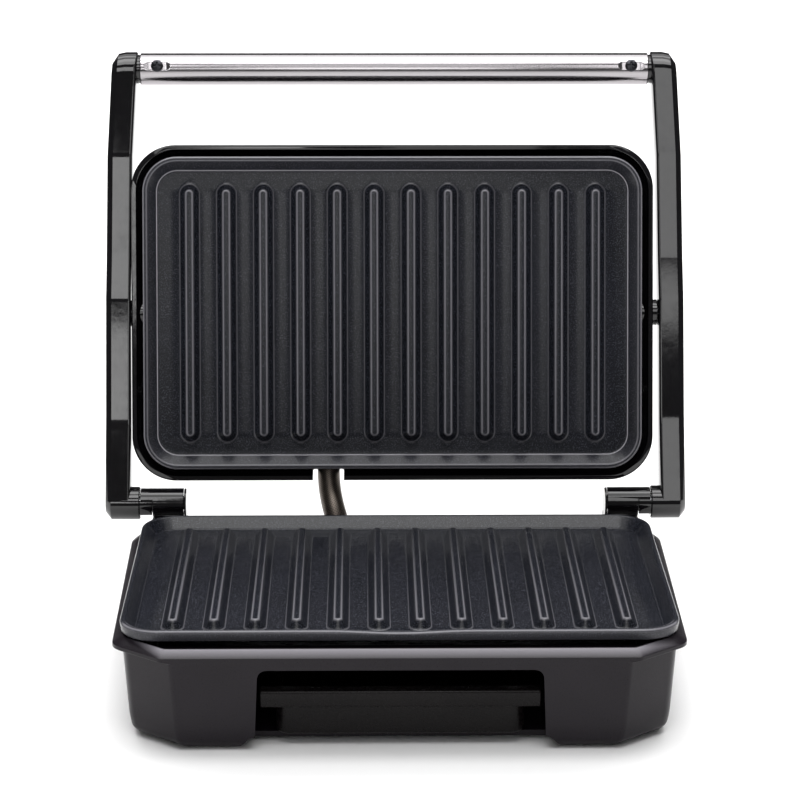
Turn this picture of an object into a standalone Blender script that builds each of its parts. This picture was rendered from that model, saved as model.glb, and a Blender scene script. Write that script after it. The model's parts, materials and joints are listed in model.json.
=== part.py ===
"""Panini press with a floating upper plate, lid open on its stop.

Metres, +Z up, the front of the press faces -Y. The lid group turns about the
hinge axis behind the lower plate and the upper platen rocks on two pins halfway
along the arms. Both groups are drawn closed, in the frame of their own axis, and
then turned to the open rest position.
"""

import math

import bmesh
import bpy
import numpy as np
from mathutils import Vector

# Overall sizes
PLATE_WIDTH = 0.230
PLATE_DEPTH = 0.144
PLATE_CORNER = 0.016
RIM_HEIGHT = 0.0484
GAP = 0.0003

# Grill plates, measured down from the rim
SKIRT_DROP = 0.0046
FLOOR_DROP = 0.0050
PLATE_DROP = 0.0075
RIM_FLAT_OUT = 0.0008
RIM_FLAT_IN = 0.0020
RIM_SLOPE_IN = 0.0064
RIB_COUNT = 12
RIB_MARGIN = 0.0215
RIB_HALF_WIDTH = 0.0046
RIB_RIDGE_HALF = 0.0017
RIB_TOP_DROP = 0.0008
RIB_END_MARGIN = 0.0125
RIB_END_SLOPE = 0.0025
RIB_ROOT = 0.0006
DRAIN_RADIUS = 0.0022
DRAIN_INSET = 0.0098

# Base casing
CASING_WALL = 0.0022
CASING_TOP = 0.0428
CASING_BOTTOM = 0.0010
CASING_FRONT_MARGIN = 0.0100
CASING_REAR_MARGIN = 0.0280
FLANGE_WIDTH = 0.0042
FACET_IN = 0.0206
FACET_BACK = 0.0160
CHAMFER_DROP = 0.0024
CHAMFER_IN = 0.0040
PLATE_HOLE_IN = 0.0042
REAR_DECK_HEIGHT = 0.0405
REAR_SHELF_HEIGHT = 0.0340
REAR_SHELF_START = 0.0050
COVER_THICKNESS = 0.0025
COVER_BOTTOM = 0.0020
COVER_FRONT_SETBACK = 0.0105
POST_RADIUS = 0.0040
POST_BORE = 0.0019
SCREW_SHANK = 0.0015
SCREW_HEAD = 0.0030
SCREW_HEAD_HEIGHT = 0.0012
SCREW_TIP = 0.0180
FOOT_RADIUS = 0.0070
FOOT_HEIGHT = 0.0017
FOOT_STEM_RADIUS = 0.0020
FOOT_STEM_TOP = 0.0060

GLAND_RADIUS = 0.0050
GLAND_BORE = 0.0034
GLAND_HEIGHT = 0.0190

# Tray and its opening
OPENING_HALF_TOP = 0.0578
OPENING_HALF_BOTTOM = 0.0593
OPENING_TOP = 0.0352
OPENING_CORNER = 0.0034
ARCH_HALF_TOP = 0.0610
ARCH_HALF_BOTTOM = 0.0660
ARCH_HEIGHT = 0.0060
TRAY_HALF_WIDTH = 0.0508
TRAY_BOTTOM = 0.0050
TRAY_WALL = 0.0016
TRAY_REAR_TOP = 0.0150
TRAY_FRONT_TOP = 0.0205
TRAY_LENGTH = 0.1160
TRAY_FRONT_SETBACK = 0.0055
TRAY_LIP_HALF_WIDTH = 0.0570
TRAY_LIP_BOTTOM = 0.0181
TRAY_LIP_TOP = 0.0258
TRAY_LIP_DEPTH = 0.0052

# Hinge
HINGE_BEHIND_PLATE = 0.0150
HINGE_ABOVE_RIM = 0.0006
BARREL_RADIUS = 0.0069
BARREL_INNER_END = 0.0172
CAP_THICKNESS = 0.0009
CAP_SPIGOT = 0.0007
PIN_RADIUS = 0.0030
PIN_CLEARANCE = 0.0003
STOP_WIDTH = 0.0056
STOP_INNER_RADIUS = 0.0044
STOP_TAB_FROM = 153.0
STOP_TAB_TO = 218.0
STOP_PLAY = 3.0
ARM_FOOT_RADIUS = 0.0076
PEDESTAL_DEPTH = 0.0130

# Lid, drawn closed
LID_GAP = 0.0006
PIVOT_ABOVE_RIM = 0.0150
PLATEN_LEAN_OPEN = 14.4
PLATEN_TIP = 3.0
ARM_THICKNESS = 0.0116
HOUSING_MARGIN = 0.0055
HOUSING_CORNER = 0.0205
HOUSING_SIDE_GAP = 0.0017
HOUSING_WALL = 0.0022
HOUSING_HEIGHT = 0.0315
PLATEN_SHIFT = 0.0012
NOTCH_HALF_WIDTH = 0.00715
NOTCH_X = -0.0299
PIVOT_BOSS_RADIUS = 0.00605
HANDLE_REACH = 0.2030
HANDLE_OFFSET = 0.0015
HANDLE_RADIUS = 0.0075
HANDLE_WALL = 0.0011
HANDLE_END_GAP = 0.0036
HANDLE_SCREW_INSET = 0.0081
HANDLE_SCREW_HEAD = 0.0028
TENON_LENGTH = 0.0160
LAMP_RADIUS = 0.0030
LAMP_SPACING = 0.0220
CONDUIT_RADIUS = 0.0052
CONDUIT_BASE_X = -0.0268
CONDUIT_STRAIGHT = 0.0098
CONDUIT_BEND = 0.0070
FERRULE_WALL = 0.0020

# Heating parts
ELEMENT_RADIUS = 0.0032
ELEMENT_IN = 0.0270
ELEMENT_BEND = 0.0120
ELEMENT_TAIL_HALF = 0.0140
REFLECTOR_IN = 0.0170
REFLECTOR_HEIGHT = 0.0050
REFLECTOR_SHEET = 0.0008
THERMOSTAT_RADIUS = 0.0110
THERMOSTAT_HEIGHT = 0.0090
FUSE_RADIUS = 0.0022
FUSE_LENGTH = 0.0160
STUD_RADIUS = 0.0022
STUD_LENGTH = 0.0100

# Worked out from the values above
HINGE_Y = PLATE_DEPTH / 2 + HINGE_BEHIND_PLATE
HINGE_Z = RIM_HEIGHT + HINGE_ABOVE_RIM
HOUSING_HALF_WIDTH = PLATE_WIDTH / 2 + HOUSING_MARGIN
HOUSING_HALF_DEPTH = PLATE_DEPTH / 2 + HOUSING_MARGIN
ARM_INNER = HOUSING_HALF_WIDTH + HOUSING_SIDE_GAP
ARM_OUTER = ARM_INNER + ARM_THICKNESS
BARREL_OUTER = ARM_INNER - 0.0046
BARREL_INNER = PLATE_WIDTH / 2 - BARREL_INNER_END
FOOT_INNER = BARREL_OUTER + GAP
PIVOT_Y = -HINGE_Y
PIVOT_Z = RIM_HEIGHT + LID_GAP + PIVOT_ABOVE_RIM - HINGE_Z
PIVOT_REACH = math.hypot(PIVOT_Y, PIVOT_Z)
ARM_ALONG = Vector((0.0, PIVOT_Y, PIVOT_Z)) / PIVOT_REACH
ARM_DOWN = Vector((0.0, -ARM_ALONG.z, ARM_ALONG.y))
CASING_FRONT = -PLATE_DEPTH / 2 - CASING_FRONT_MARGIN
CASING_REAR = PLATE_DEPTH / 2 + CASING_REAR_MARGIN
CASING_SIDE = PLATE_WIDTH / 2 - 0.0016
CHAMFER_Z = CASING_TOP - CHAMFER_DROP
COVER_TOP = COVER_BOTTOM + COVER_THICKNESS


# Turns about X from closed to the open rest position: the arms turn a little less
# than the platen, which also tips back on its pins.
PLATEN_TURN = -math.radians(90.0 + PLATEN_LEAN_OPEN)
LID_TURN = PLATEN_TURN + math.radians(PLATEN_TIP)


def clear_scene():
    for item in list(bpy.data.objects):
        bpy.data.objects.remove(item)


def colour_of(hexcode):
    """Linear RGBA of a display colour."""
    values = [int(hexcode[i : i + 2], 16) / 255 for i in (1, 3, 5)]
    linear = [v / 12.92 if v <= 0.04045 else ((v + 0.055) / 1.055) ** 2.4 for v in values]
    return (*linear, 1.0)


def material(name, hexcode, metallic, roughness):
    made = bpy.data.materials.get(name)
    if made:
        return made
    made = bpy.data.materials.new(name)
    made.use_nodes = True
    shader = made.node_tree.nodes["Principled BSDF"]
    shader.inputs["Base Color"].default_value = colour_of(hexcode)
    shader.inputs["Metallic"].default_value = metallic
    shader.inputs["Roughness"].default_value = roughness
    return made


LOOKS = {
    "base_black": ("#2A272B", 0.0, 0.35),
    "gloss_black": ("#141317", 0.0, 0.12),
    "plate_coat": ("#3A3C40", 0.2, 0.45),
    "tray_black": ("#201D20", 0.0, 0.40),
    "handle_steel": ("#C9C5C4", 1.0, 0.25),
    "screw_black": ("#1C1C1E", 0.8, 0.35),
    "screw_zinc": ("#A9ABB0", 1.0, 0.35),
    "pin_steel": ("#9EA0A4", 1.0, 0.30),
    "braid_steel": ("#8F867E", 1.0, 0.35),
    "foot_rubber": ("#18181A", 0.0, 0.80),
    "element_sheath": ("#6B6660", 0.9, 0.45),
    "reflector_sheet": ("#C4C6C8", 1.0, 0.30),
    "ceramic_body": ("#D8D2C4", 0.0, 0.55),
    "phenolic_brown": ("#4A2E20", 0.0, 0.50),
    "lens_red": ("#B01C18", 0.0, 0.15),
    "lens_green": ("#2C8A3C", 0.0, 0.15),
}


def face_outwards(mesh):
    """Turns every face the same way round, and outwards."""
    shape = bmesh.new()
    shape.from_mesh(mesh)
    bmesh.ops.recalc_face_normals(shape, faces=shape.faces)
    if shape.calc_volume(signed=True) < 0:
        bmesh.ops.reverse_faces(shape, faces=shape.faces)
    shape.to_mesh(mesh)
    shape.free()
    mesh.update()


def node(name, vertices, faces, look, parent=None):
    """One named mesh object, in its parent's frame, with its own material."""
    mesh = bpy.data.meshes.new(name)
    mesh.from_pydata([tuple(v) for v in vertices], [], faces)
    mesh.validate()
    face_outwards(mesh)
    made = bpy.data.objects.new(name, mesh)
    bpy.context.scene.collection.objects.link(made)
    if look:
        mesh.materials.append(material(name + "_" + look, *LOOKS[look]))
    made.parent = parent
    return made


def cutter(made):
    made.hide_render = True
    made.display_type = "WIRE"
    return made


def smooth(made):
    made.data.polygons.foreach_set("use_smooth", [True] * len(made.data.polygons))
    return made


def combine(made, other, operation):
    """Cuts or joins another shape, which stays in the scene as a helper."""
    step = made.modifiers.new(other.name, "BOOLEAN")
    step.operation = operation
    step.object = other
    step.solver = "EXACT"
    cutter(other)
    return made


def cut(made, other):
    return combine(made, other, "DIFFERENCE")


def join(made, other):
    return combine(made, other, "UNION")


def arc(centre_x, centre_y, radius, start, stop, steps):
    """Points of an arc in the plane, angles in degrees, both ends kept."""
    angles = np.radians(np.linspace(start, stop, steps + 1))
    return [(centre_x + radius * math.cos(a), centre_y + radius * math.sin(a)) for a in angles]


def rounded_rect(half_x, half_y, radius, steps=4, centre_y=0.0):
    """Counter-clockwise rounded rectangle about x = 0."""
    inner_x = half_x - radius
    inner_y = half_y - radius
    points = []
    for sign_x, sign_y, start in ((1, 1, 0), (-1, 1, 90), (-1, -1, 180), (1, -1, 270)):
        corner = arc(sign_x * inner_x, sign_y * inner_y, radius, start, start + 90, steps)
        points += [(x, y + centre_y) for x, y in corner]
    return points


def softened(points, radius, steps=2):
    """Closed outline with each corner cut back and rounded by a short parabola."""
    result = []
    count = len(points)
    for index, corner in enumerate(points):
        here = Vector(corner)
        before = Vector(points[index - 1]) - here
        after = Vector(points[(index + 1) % count]) - here
        reach = min(radius, before.length * 0.45, after.length * 0.45)
        first = here + before.normalized() * reach
        last = here + after.normalized() * reach
        for t in np.linspace(0.0, 1.0, steps + 1):
            point = first * (1 - t) ** 2 + here * (2 * t * (1 - t)) + last * t**2
            result.append((point.x, point.y))
    return result


def inset(points, distance):
    """Counter-clockwise outline moved inwards by mitred corners."""
    result = []
    count = len(points)
    for index, corner in enumerate(points):
        here = Vector(corner)
        before = (here - Vector(points[index - 1])).normalized()
        after = (Vector(points[(index + 1) % count]) - here).normalized()
        normal = Vector((-before.y, before.x)) + Vector((-after.y, after.x))
        normal = normal / max(normal.length_squared / 2, 1e-9)
        result.append(tuple(here + normal * distance))
    return result


def level(points, height):
    return [(x, y, height) for x, y in points]


def loft(name, rings, look, parent=None, ring_shaped=False):
    """Solid through rings of equal length: capped, or closed on itself like a tyre."""
    count = len(rings[0])
    vertices = [point for ring in rings for point in ring]
    spans = len(rings) if ring_shaped else len(rings) - 1
    faces = []
    for row in range(spans):
        below = row * count
        above = ((row + 1) % len(rings)) * count
        for i in range(count):
            j = (i + 1) % count
            faces.append((below + i, below + j, above + j, above + i))
    if not ring_shaped:
        faces.append(tuple(reversed(range(count))))
        faces.append(tuple(range(spans * count, (spans + 1) * count)))
    return node(name, vertices, faces, look, parent)


def lathe(name, profile, look, parent=None, axis="Z", centre=(0, 0, 0), sides=20, bored=False):
    """Turned piece: profile of (radius, along) pairs; bored profiles close on themselves."""
    rings = []
    for radius, along in profile:
        ring = []
        for angle in np.linspace(0, 2 * math.pi, sides, endpoint=False):
            across = radius * math.cos(angle)
            up = radius * math.sin(angle)
            spot = {
                "Z": (across, up, along),
                "X": (along, across, up),
                "Y": (up, along, across),
            }[axis]
            ring.append(tuple(c + p for c, p in zip(centre, spot)))
        rings.append(ring)
    return smooth(loft(name, rings, look, parent, ring_shaped=bored))


def rod(name, radius, start, stop, look, parent=None, axis="Z", centre=(0, 0, 0), sides=16):
    return lathe(name, [(radius, start), (radius, stop)], look, parent, axis, centre, sides)


def drill(name, radius, start, stop, parent=None, axis="Z", centre=(0, 0, 0), sides=16):
    """Round bar used only to cut a hole."""
    return rod(name, radius, start, stop, None, parent, axis, centre, sides)


def tube(name, outer, inner, start, stop, look, parent=None, axis="Z", centre=(0, 0, 0), sides=20):
    profile = [(outer, start), (outer, stop), (inner, stop), (inner, start)]
    return lathe(name, profile, look, parent, axis, centre, sides, bored=True)


def block(name, low, high, look, parent=None):
    (x0, y0, z0), (x1, y1, z1) = low, high
    outline = [(x0, y0), (x1, y0), (x1, y1), (x0, y1)]
    return loft(name, [level(outline, z0), level(outline, z1)], look, parent)


def sweep(name, path, radius, look, parent=None, sides=10):
    """Round bar of one radius along a list of points."""
    path = [Vector(p) for p in path]
    rings = []
    side = None
    for index, point in enumerate(path):
        ahead = path[min(index + 1, len(path) - 1)]
        behind = path[max(index - 1, 0)]
        along = (ahead - behind).normalized()
        if side is None:
            side = along.orthogonal().normalized()
        side = (side - along * side.dot(along)).normalized()
        other = along.cross(side)
        ring = []
        for angle in np.linspace(0, 2 * math.pi, sides, endpoint=False):
            ring.append(tuple(point + (side * math.cos(angle) + other * math.sin(angle)) * radius))
        rings.append(ring)
    return smooth(loft(name, rings, look, parent))


def turned_over(made):
    """Turns a plate drawn face up so that it faces down."""
    for vertex in made.data.vertices:
        vertex.co.y = -vertex.co.y
        vertex.co.z = -vertex.co.z
    return made


def axis_frame(name, location, turn, parent=None):
    made = bpy.data.objects.new(name, None)
    bpy.context.scene.collection.objects.link(made)
    made.empty_display_size = 0.02
    made.parent = parent
    made.location = location
    made.rotation_euler = (turn, 0.0, 0.0)
    return made


def arm_point(along, down):
    """Closed-lid (y, z) of a point that far along the arm and that far below its line."""
    spot = ARM_ALONG * along + ARM_DOWN * down
    return spot.y, spot.z


# Grill plates


def plate_outline(inward, steps=4):
    radius = max(PLATE_CORNER - inward, 0.004)
    return rounded_rect(PLATE_WIDTH / 2 - inward, PLATE_DEPTH / 2 - inward, radius, steps)


def rib_bars(name, top):
    """All ribs of one plate as a joined helper, rooted a little below the floor."""
    span = PLATE_WIDTH - 2 * RIB_MARGIN
    half_length = PLATE_DEPTH / 2 - RIB_END_MARGIN
    vertices = []
    faces = []
    for index in range(RIB_COUNT):
        centre = -span / 2 + span * index / (RIB_COUNT - 1)
        first = len(vertices)
        shapes = (
            (RIB_HALF_WIDTH + 0.0003, half_length + 0.0003, top - FLOOR_DROP - RIB_ROOT),
            (RIB_HALF_WIDTH, half_length, top - FLOOR_DROP),
            (RIB_RIDGE_HALF + 0.0008, half_length - RIB_END_SLOPE + 0.0006, top - RIB_TOP_DROP - 0.0008),
            (RIB_RIDGE_HALF - 0.0002, half_length - RIB_END_SLOPE - 0.0004, top - RIB_TOP_DROP),
        )
        for half_width, half_long, height in shapes:
            outline = rounded_rect(half_width, half_long, half_width * 0.98, 2)
            vertices += [(x + centre, y, height) for x, y in outline]
        count = (len(vertices) - first) // len(shapes)
        for row in range(len(shapes) - 1):
            low = first + row * count
            for i in range(count):
                j = (i + 1) % count
                faces.append((low + i, low + j, low + count + j, low + count + i))
        faces.append(tuple(reversed(range(first, first + count))))
        faces.append(tuple(range(first + count * (len(shapes) - 1), first + count * len(shapes))))
    return node(name, vertices, faces, None)


def grill_plate(name, top):
    """Cast pan drawn face up, with its rim at the given height."""
    steps = (
        (RIM_SLOPE_IN, FLOOR_DROP),
        (RIM_FLAT_IN, 0.0),
        (RIM_FLAT_OUT, 0.0),
        (0.0, 0.0008),
        (0.0005, SKIRT_DROP),
        (0.0034, SKIRT_DROP),
        (0.0070, PLATE_DROP),
    )
    rings = [level(plate_outline(inward), top - drop) for inward, drop in reversed(steps)]
    made = loft(name, rings, "plate_coat")
    join(made, rib_bars(name + "_ribs", top))
    return made


def lower_plate():
    made = grill_plate("lower_grill_plate", RIM_HEIGHT)
    spot = (0.0, -PLATE_DEPTH / 2 + DRAIN_INSET, 0.0)
    low = RIM_HEIGHT - 0.02
    hole = drill("drain_hole_cut", DRAIN_RADIUS, low, low + 0.03, None, "Z", spot, 12)
    return cut(made, hole)


def upper_plate(platen):
    made = grill_plate("upper_grill_plate", PIVOT_ABOVE_RIM)
    turned_over(made)
    ribs = bpy.data.objects["upper_grill_plate_ribs"]
    turned_over(ribs)
    made.parent = platen
    ribs.parent = platen
    return made


# Base


def casing_outline(side, front, flange=0.0, inward=0.0):
    """Plan of the casing: straight front, angled front corners, drawn-in rear corners."""
    rear = CASING_REAR - (0.0 if flange else 0.0015)
    wide = side + flange
    half = [
        (wide - FACET_IN, front),
        (wide, front + FACET_BACK),
        (wide + (0.0022 if flange else 0.0), HINGE_Y - 0.0270),
        (FOOT_INNER - 0.0046, HINGE_Y - 0.0090),
        (FOOT_INNER - 0.0052, rear - 0.0060),
        (FOOT_INNER - 0.0120, rear),
    ]
    points = half + [(-x, y) for x, y in reversed(half)]
    return softened(inset(points, inward), 0.0030, 2)


def casing_levels(inward):
    side = CASING_SIDE
    bottom = CASING_BOTTOM
    return (
        (bottom, side - 0.0054, CASING_FRONT + 0.0030, 0.0),
        (bottom + 0.0025, side - 0.0032, CASING_FRONT + 0.0008, 0.0),
        (bottom + 0.0080, side - 0.0020, CASING_FRONT, 0.0),
        (CHAMFER_Z - 0.0022, side, CASING_FRONT, 0.0),
        (CHAMFER_Z - 0.0014, side, CASING_FRONT, FLANGE_WIDTH),
        (CHAMFER_Z, side, CASING_FRONT, FLANGE_WIDTH),
    )


def casing_solid(name, inward, top, look):
    """Outer or inner form of the casing; inward is the wall thickness for the inner one."""
    rings = []
    for height, side, front, flange in casing_levels(inward):
        if inward and flange:
            continue
        rings.append(level(casing_outline(side, front, flange, inward), height))
    if inward:
        rings[0] = [(x, y, -0.005) for x, y, _ in rings[0]]
        rings[-1] = [(x, y, top) for x, y, _ in rings[-1]]
    else:
        crown = casing_outline(CASING_SIDE, CASING_FRONT, FLANGE_WIDTH, CHAMFER_IN)
        rings.append(level(crown, top))
    return loft(name, rings, look)


def foot_spots():
    near = CASING_FRONT + 0.0250
    far = CASING_REAR - 0.0160
    across = CASING_SIDE - 0.0180
    return {
        "front_left": (-across, near),
        "front_right": (across, near),
        "rear_left": (-across, far),
        "rear_right": (across, far),
    }


def post_spots():
    near = CASING_FRONT + 0.0095
    far = PLATE_DEPTH / 2 - 0.0010
    wide = CASING_SIDE * 0.70
    wider = CASING_SIDE * 0.88
    return {
        "front_left": (-wide, near),
        "front_right": (wide, near),
        "rear_left": (-wider, far),
        "rear_right": (wider, far),
    }


def conduit_path():
    """Centre line from inside the rear shelf up into the rear wall of the platen."""
    pivot = open_pivot()
    start = Vector((CONDUIT_BASE_X, HINGE_Y + 0.0030, REAR_SHELF_HEIGHT - 0.0060))
    local = Vector((NOTCH_X - PLATEN_SHIFT, HOUSING_HALF_DEPTH - 0.0100, 0.0012))
    finish = pivot + turned(local, PLATEN_TURN)
    lead = turned(Vector((0.0, -1.0, 0.0)), PLATEN_TURN)
    leave = start + Vector((0.0, 0.0, CONDUIT_STRAIGHT))
    enter = finish - lead * (CONDUIT_STRAIGHT / 2)
    first = leave + Vector((0.0, 0.0, CONDUIT_BEND))
    second = enter - lead * CONDUIT_BEND
    points = [start]
    for t in np.linspace(0.0, 1.0, 11):
        point = leave * (1 - t) ** 3 + first * (3 * t * (1 - t) ** 2)
        point = point + second * (3 * t**2 * (1 - t)) + enter * t**3
        points.append(point)
    return points + [finish]


def turned(vector, angle):
    """Vector turned about X."""
    c = math.cos(angle)
    s = math.sin(angle)
    return Vector((vector.x, vector.y * c - vector.z * s, vector.y * s + vector.z * c))


def open_pivot():
    """Middle of the platen's pivot axis, with the lid open."""
    return Vector((0.0, HINGE_Y, HINGE_Z)) + turned(Vector((0.0, PIVOT_Y, PIVOT_Z)), LID_TURN)


def base_casing():
    made = casing_solid("base_casing", 0.0, CASING_TOP, "base_black")
    hollow = casing_solid("casing_hollow_cut", CASING_WALL, CASING_TOP - CASING_WALL, None)
    for label, half_x, height in (
        ("rear_deck", PLATE_WIDTH, REAR_DECK_HEIGHT),
        ("rear_shelf", BARREL_INNER - 0.0030, REAR_SHELF_HEIGHT),
    ):
        start = PLATE_DEPTH / 2 + REAR_SHELF_START
        end = CASING_REAR + 0.02
        high = CASING_TOP + 0.02
        cut(made, block(label + "_cut", (-half_x, start, height), (half_x, end, high), None))
        wide = half_x + CASING_WALL
        low = height - CASING_WALL
        cut(hollow, block(label + "_keep", (-wide, start - CASING_WALL, low), (wide, end, high), None))
    cut(made, hollow)
    well = rounded_rect(
        PLATE_WIDTH / 2 - PLATE_HOLE_IN, PLATE_DEPTH / 2 - PLATE_HOLE_IN, PLATE_CORNER - PLATE_HOLE_IN
    )
    low = CASING_TOP - 0.006
    cut(made, loft("plate_well_cut", [level(well, low), level(well, low + 0.016)], None))
    cut(made, opening_cut())
    cut(made, arch_cut())
    for place, (x, y) in post_spots().items():
        foot = COVER_TOP + GAP
        post = tube(
            "post_" + place, POST_RADIUS, POST_BORE, foot, CASING_TOP - CASING_WALL + 0.0010, None, None,
            "Z", (x, y, 0.0), 12,
        )
        join(made, post)
    x, y, z = gland_spot()
    spot = (x, 0.0, z)
    cut(made, drill("gland_hole_cut", GLAND_RADIUS + GAP, y - 0.01, y + 0.01, None, "Y", spot))
    spot = conduit_path()[0]
    radius = CONDUIT_RADIUS + FERRULE_WALL + GAP
    low = REAR_SHELF_HEIGHT - 0.008
    hole = drill("conduit_hole_cut", radius, low, low + 0.014, None, "Z", (spot.x, spot.y, 0.0), 20)
    cut(made, hole)
    return made


def opening_cut():
    top = OPENING_HALF_TOP
    corner = OPENING_CORNER
    outline = [(-OPENING_HALF_BOTTOM, 0.0), (OPENING_HALF_BOTTOM, 0.0)]
    outline += arc(top - corner, OPENING_TOP - corner, corner, 0, 90, 3)
    outline += arc(-top + corner, OPENING_TOP - corner, corner, 90, 180, 3)
    return wall_cut("tray_opening_cut", outline)


def arch_cut():
    outline = [
        (-ARCH_HALF_BOTTOM, -0.002),
        (ARCH_HALF_BOTTOM, -0.002),
        (ARCH_HALF_TOP, ARCH_HEIGHT),
        (-ARCH_HALF_TOP, ARCH_HEIGHT),
    ]
    return wall_cut("arch_cut", outline)


def wall_cut(name, outline):
    """Prism along Y through the front wall, from an outline in X and Z."""
    near = [(x, CASING_FRONT - 0.005, z) for x, z in outline]
    far = [(x, CASING_FRONT + 0.008, z) for x, z in outline]
    return loft(name, [near, far], None)


def bottom_cover():
    inward = CASING_WALL + 0.0004
    outline = casing_outline(CASING_SIDE - 0.0046, CASING_FRONT + 0.0020, 0.0, inward)
    limit = CASING_FRONT + COVER_FRONT_SETBACK
    made = loft("bottom_cover", [level(outline, COVER_BOTTOM), level(outline, COVER_TOP)], "base_black")
    notch = block(
        "cover_front_cut",
        (-ARCH_HALF_BOTTOM - 0.001, CASING_FRONT - 0.01, -0.01),
        (ARCH_HALF_BOTTOM + 0.001, limit, 0.02),
        None,
    )
    cut(made, notch)
    for place, (x, y) in post_spots().items():
        spot = (x, y, 0.0)
        cut(made, drill("screw_hole_" + place, POST_BORE, -0.01, 0.02, None, "Z", spot, 12))
    for place, (x, y) in foot_spots().items():
        radius = FOOT_STEM_RADIUS + GAP
        cut(made, drill("stem_hole_" + place, radius, -0.01, 0.02, None, "Z", (x, y, 0.0), 12))
    return made


def feet():
    for place, (x, y) in foot_spots().items():
        profile = [
            (FOOT_RADIUS - 0.0006, 0.0),
            (FOOT_RADIUS, 0.0006),
            (FOOT_RADIUS, FOOT_HEIGHT),
            (FOOT_STEM_RADIUS, FOOT_HEIGHT),
            (FOOT_STEM_RADIUS, FOOT_STEM_TOP),
        ]
        lathe("foot_" + place, profile, "foot_rubber", None, "Z", (x, y, 0.0), 16)


def cover_screws():
    top = COVER_BOTTOM - GAP
    for place, (x, y) in post_spots().items():
        profile = [
            (SCREW_HEAD - 0.0006, top - SCREW_HEAD_HEIGHT),
            (SCREW_HEAD, top - SCREW_HEAD_HEIGHT + 0.0005),
            (SCREW_HEAD, top),
            (SCREW_SHANK, top),
            (SCREW_SHANK, SCREW_TIP - 0.0015),
            (SCREW_SHANK * 0.4, SCREW_TIP),
        ]
        lathe("cover_screw_" + place, profile, "screw_zinc", None, "Z", (x, y, 0.0), 12)


def drip_tray():
    """Pan with a raised front wall and a wide grip bar, at its pushed-in place."""
    front = CASING_FRONT + TRAY_FRONT_SETBACK
    centre = front + TRAY_LENGTH / 2
    half = TRAY_LENGTH / 2
    outer = rounded_rect(TRAY_HALF_WIDTH, half, 0.005, 2, centre)
    floor = rounded_rect(TRAY_HALF_WIDTH - 0.0012, half - 0.0012, 0.004, 2, centre)
    inside = rounded_rect(TRAY_HALF_WIDTH - TRAY_WALL, half - TRAY_WALL, 0.0036, 2, centre)
    low = rounded_rect(TRAY_HALF_WIDTH - TRAY_WALL - 0.0012, half - TRAY_WALL - 0.0012, 0.003, 2, centre)
    tops = [TRAY_FRONT_TOP if y < front + 0.006 else TRAY_REAR_TOP for _, y in outer]
    rings = [
        level(low, TRAY_BOTTOM + TRAY_WALL),
        [(x, y, z) for (x, y), z in zip(inside, tops)],
        [(x, y, z) for (x, y), z in zip(outer, tops)],
        level(floor, TRAY_BOTTOM),
    ]
    made = loft("drip_tray", list(reversed(rings)), "tray_black")
    bar = block(
        "tray_lip",
        (-TRAY_LIP_HALF_WIDTH, front - TRAY_LIP_DEPTH + 0.0012, TRAY_LIP_BOTTOM),
        (TRAY_LIP_HALF_WIDTH, front + 0.0012, TRAY_LIP_TOP),
        None,
    )
    return join(made, bar)


# Parts inside the base


def element_path(height):
    """Loop of the sheathed rod, open at the rear middle where its two ends are."""
    half_x = PLATE_WIDTH / 2 - ELEMENT_IN
    half_y = PLATE_DEPTH / 2 - ELEMENT_IN
    bend = ELEMENT_BEND
    points = [(-ELEMENT_TAIL_HALF, half_y)]
    points += arc(-half_x + bend, half_y - bend, bend, 90, 180, 3)
    points += arc(-half_x + bend, -half_y + bend, bend, 180, 270, 3)
    mirrored = [(-x, y) for x, y in reversed(points)]
    return [(x, y, height) for x, y in points + mirrored]


def heating_element(name, height, parent=None):
    return sweep(name, element_path(height), ELEMENT_RADIUS, "element_sheath", parent, 8)


def reflector(name, low, side, parent=None):
    """Shallow sheet pan under an element; side is +1 with the rim up and -1 with it down."""
    half_x = PLATE_WIDTH / 2 - REFLECTOR_IN
    half_y = PLATE_DEPTH / 2 - REFLECTOR_IN
    sheet = REFLECTOR_SHEET
    tall = REFLECTOR_HEIGHT
    rings = [
        level(rounded_rect(half_x - 0.004, half_y - 0.004, 0.008, 3), low + side * sheet),
        level(rounded_rect(half_x - sheet, half_y - sheet, 0.010, 3), low + side * tall),
        level(rounded_rect(half_x, half_y, 0.0108, 3), low + side * tall),
        level(rounded_rect(half_x - 0.004 + sheet, half_y - 0.004 + sheet, 0.0088, 3), low),
    ]
    if side > 0:
        rings.reverse()
    return loft(name, rings, "reflector_sheet", parent)


def inner_base_parts():
    element_height = RIM_HEIGHT - PLATE_DROP - GAP - ELEMENT_RADIUS
    heating_element("lower_heating_element", element_height)
    pan = element_height - ELEMENT_RADIUS - GAP - REFLECTOR_SHEET
    reflector("lower_reflector", pan, 1)
    x = PLATE_WIDTH / 2 - 0.0400
    top = pan - GAP
    disc = [
        (THERMOSTAT_RADIUS, top),
        (THERMOSTAT_RADIUS, top - 0.0030),
        (THERMOSTAT_RADIUS - 0.0030, top - 0.0030),
        (THERMOSTAT_RADIUS - 0.0030, top - THERMOSTAT_HEIGHT),
    ]
    lathe("lower_thermostat", list(reversed(disc)), "ceramic_body", None, "Z", (x, 0.010, 0.0), 16)
    rod(
        "thermal_fuse", FUSE_RADIUS, -FUSE_LENGTH / 2, FUSE_LENGTH / 2, "ceramic_body", None,
        "X", (-x, 0.010, top - FUSE_RADIUS), 10,
    )
    for side, sign in (("left", -1), ("right", 1)):
        spot = (sign * (PLATE_WIDTH / 2 - 0.0125), 0.0, 0.0)
        high = RIM_HEIGHT - PLATE_DROP - GAP
        stud("lower_plate_stud_" + side, high, -1, spot, None)
    rear = CASING_REAR - 0.0120
    block(
        "terminal_block", (-0.016, rear - 0.012, COVER_TOP + GAP), (0.016, rear, COVER_TOP + 0.0140),
        "phenolic_brown",
    )
    cord_gland()


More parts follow.
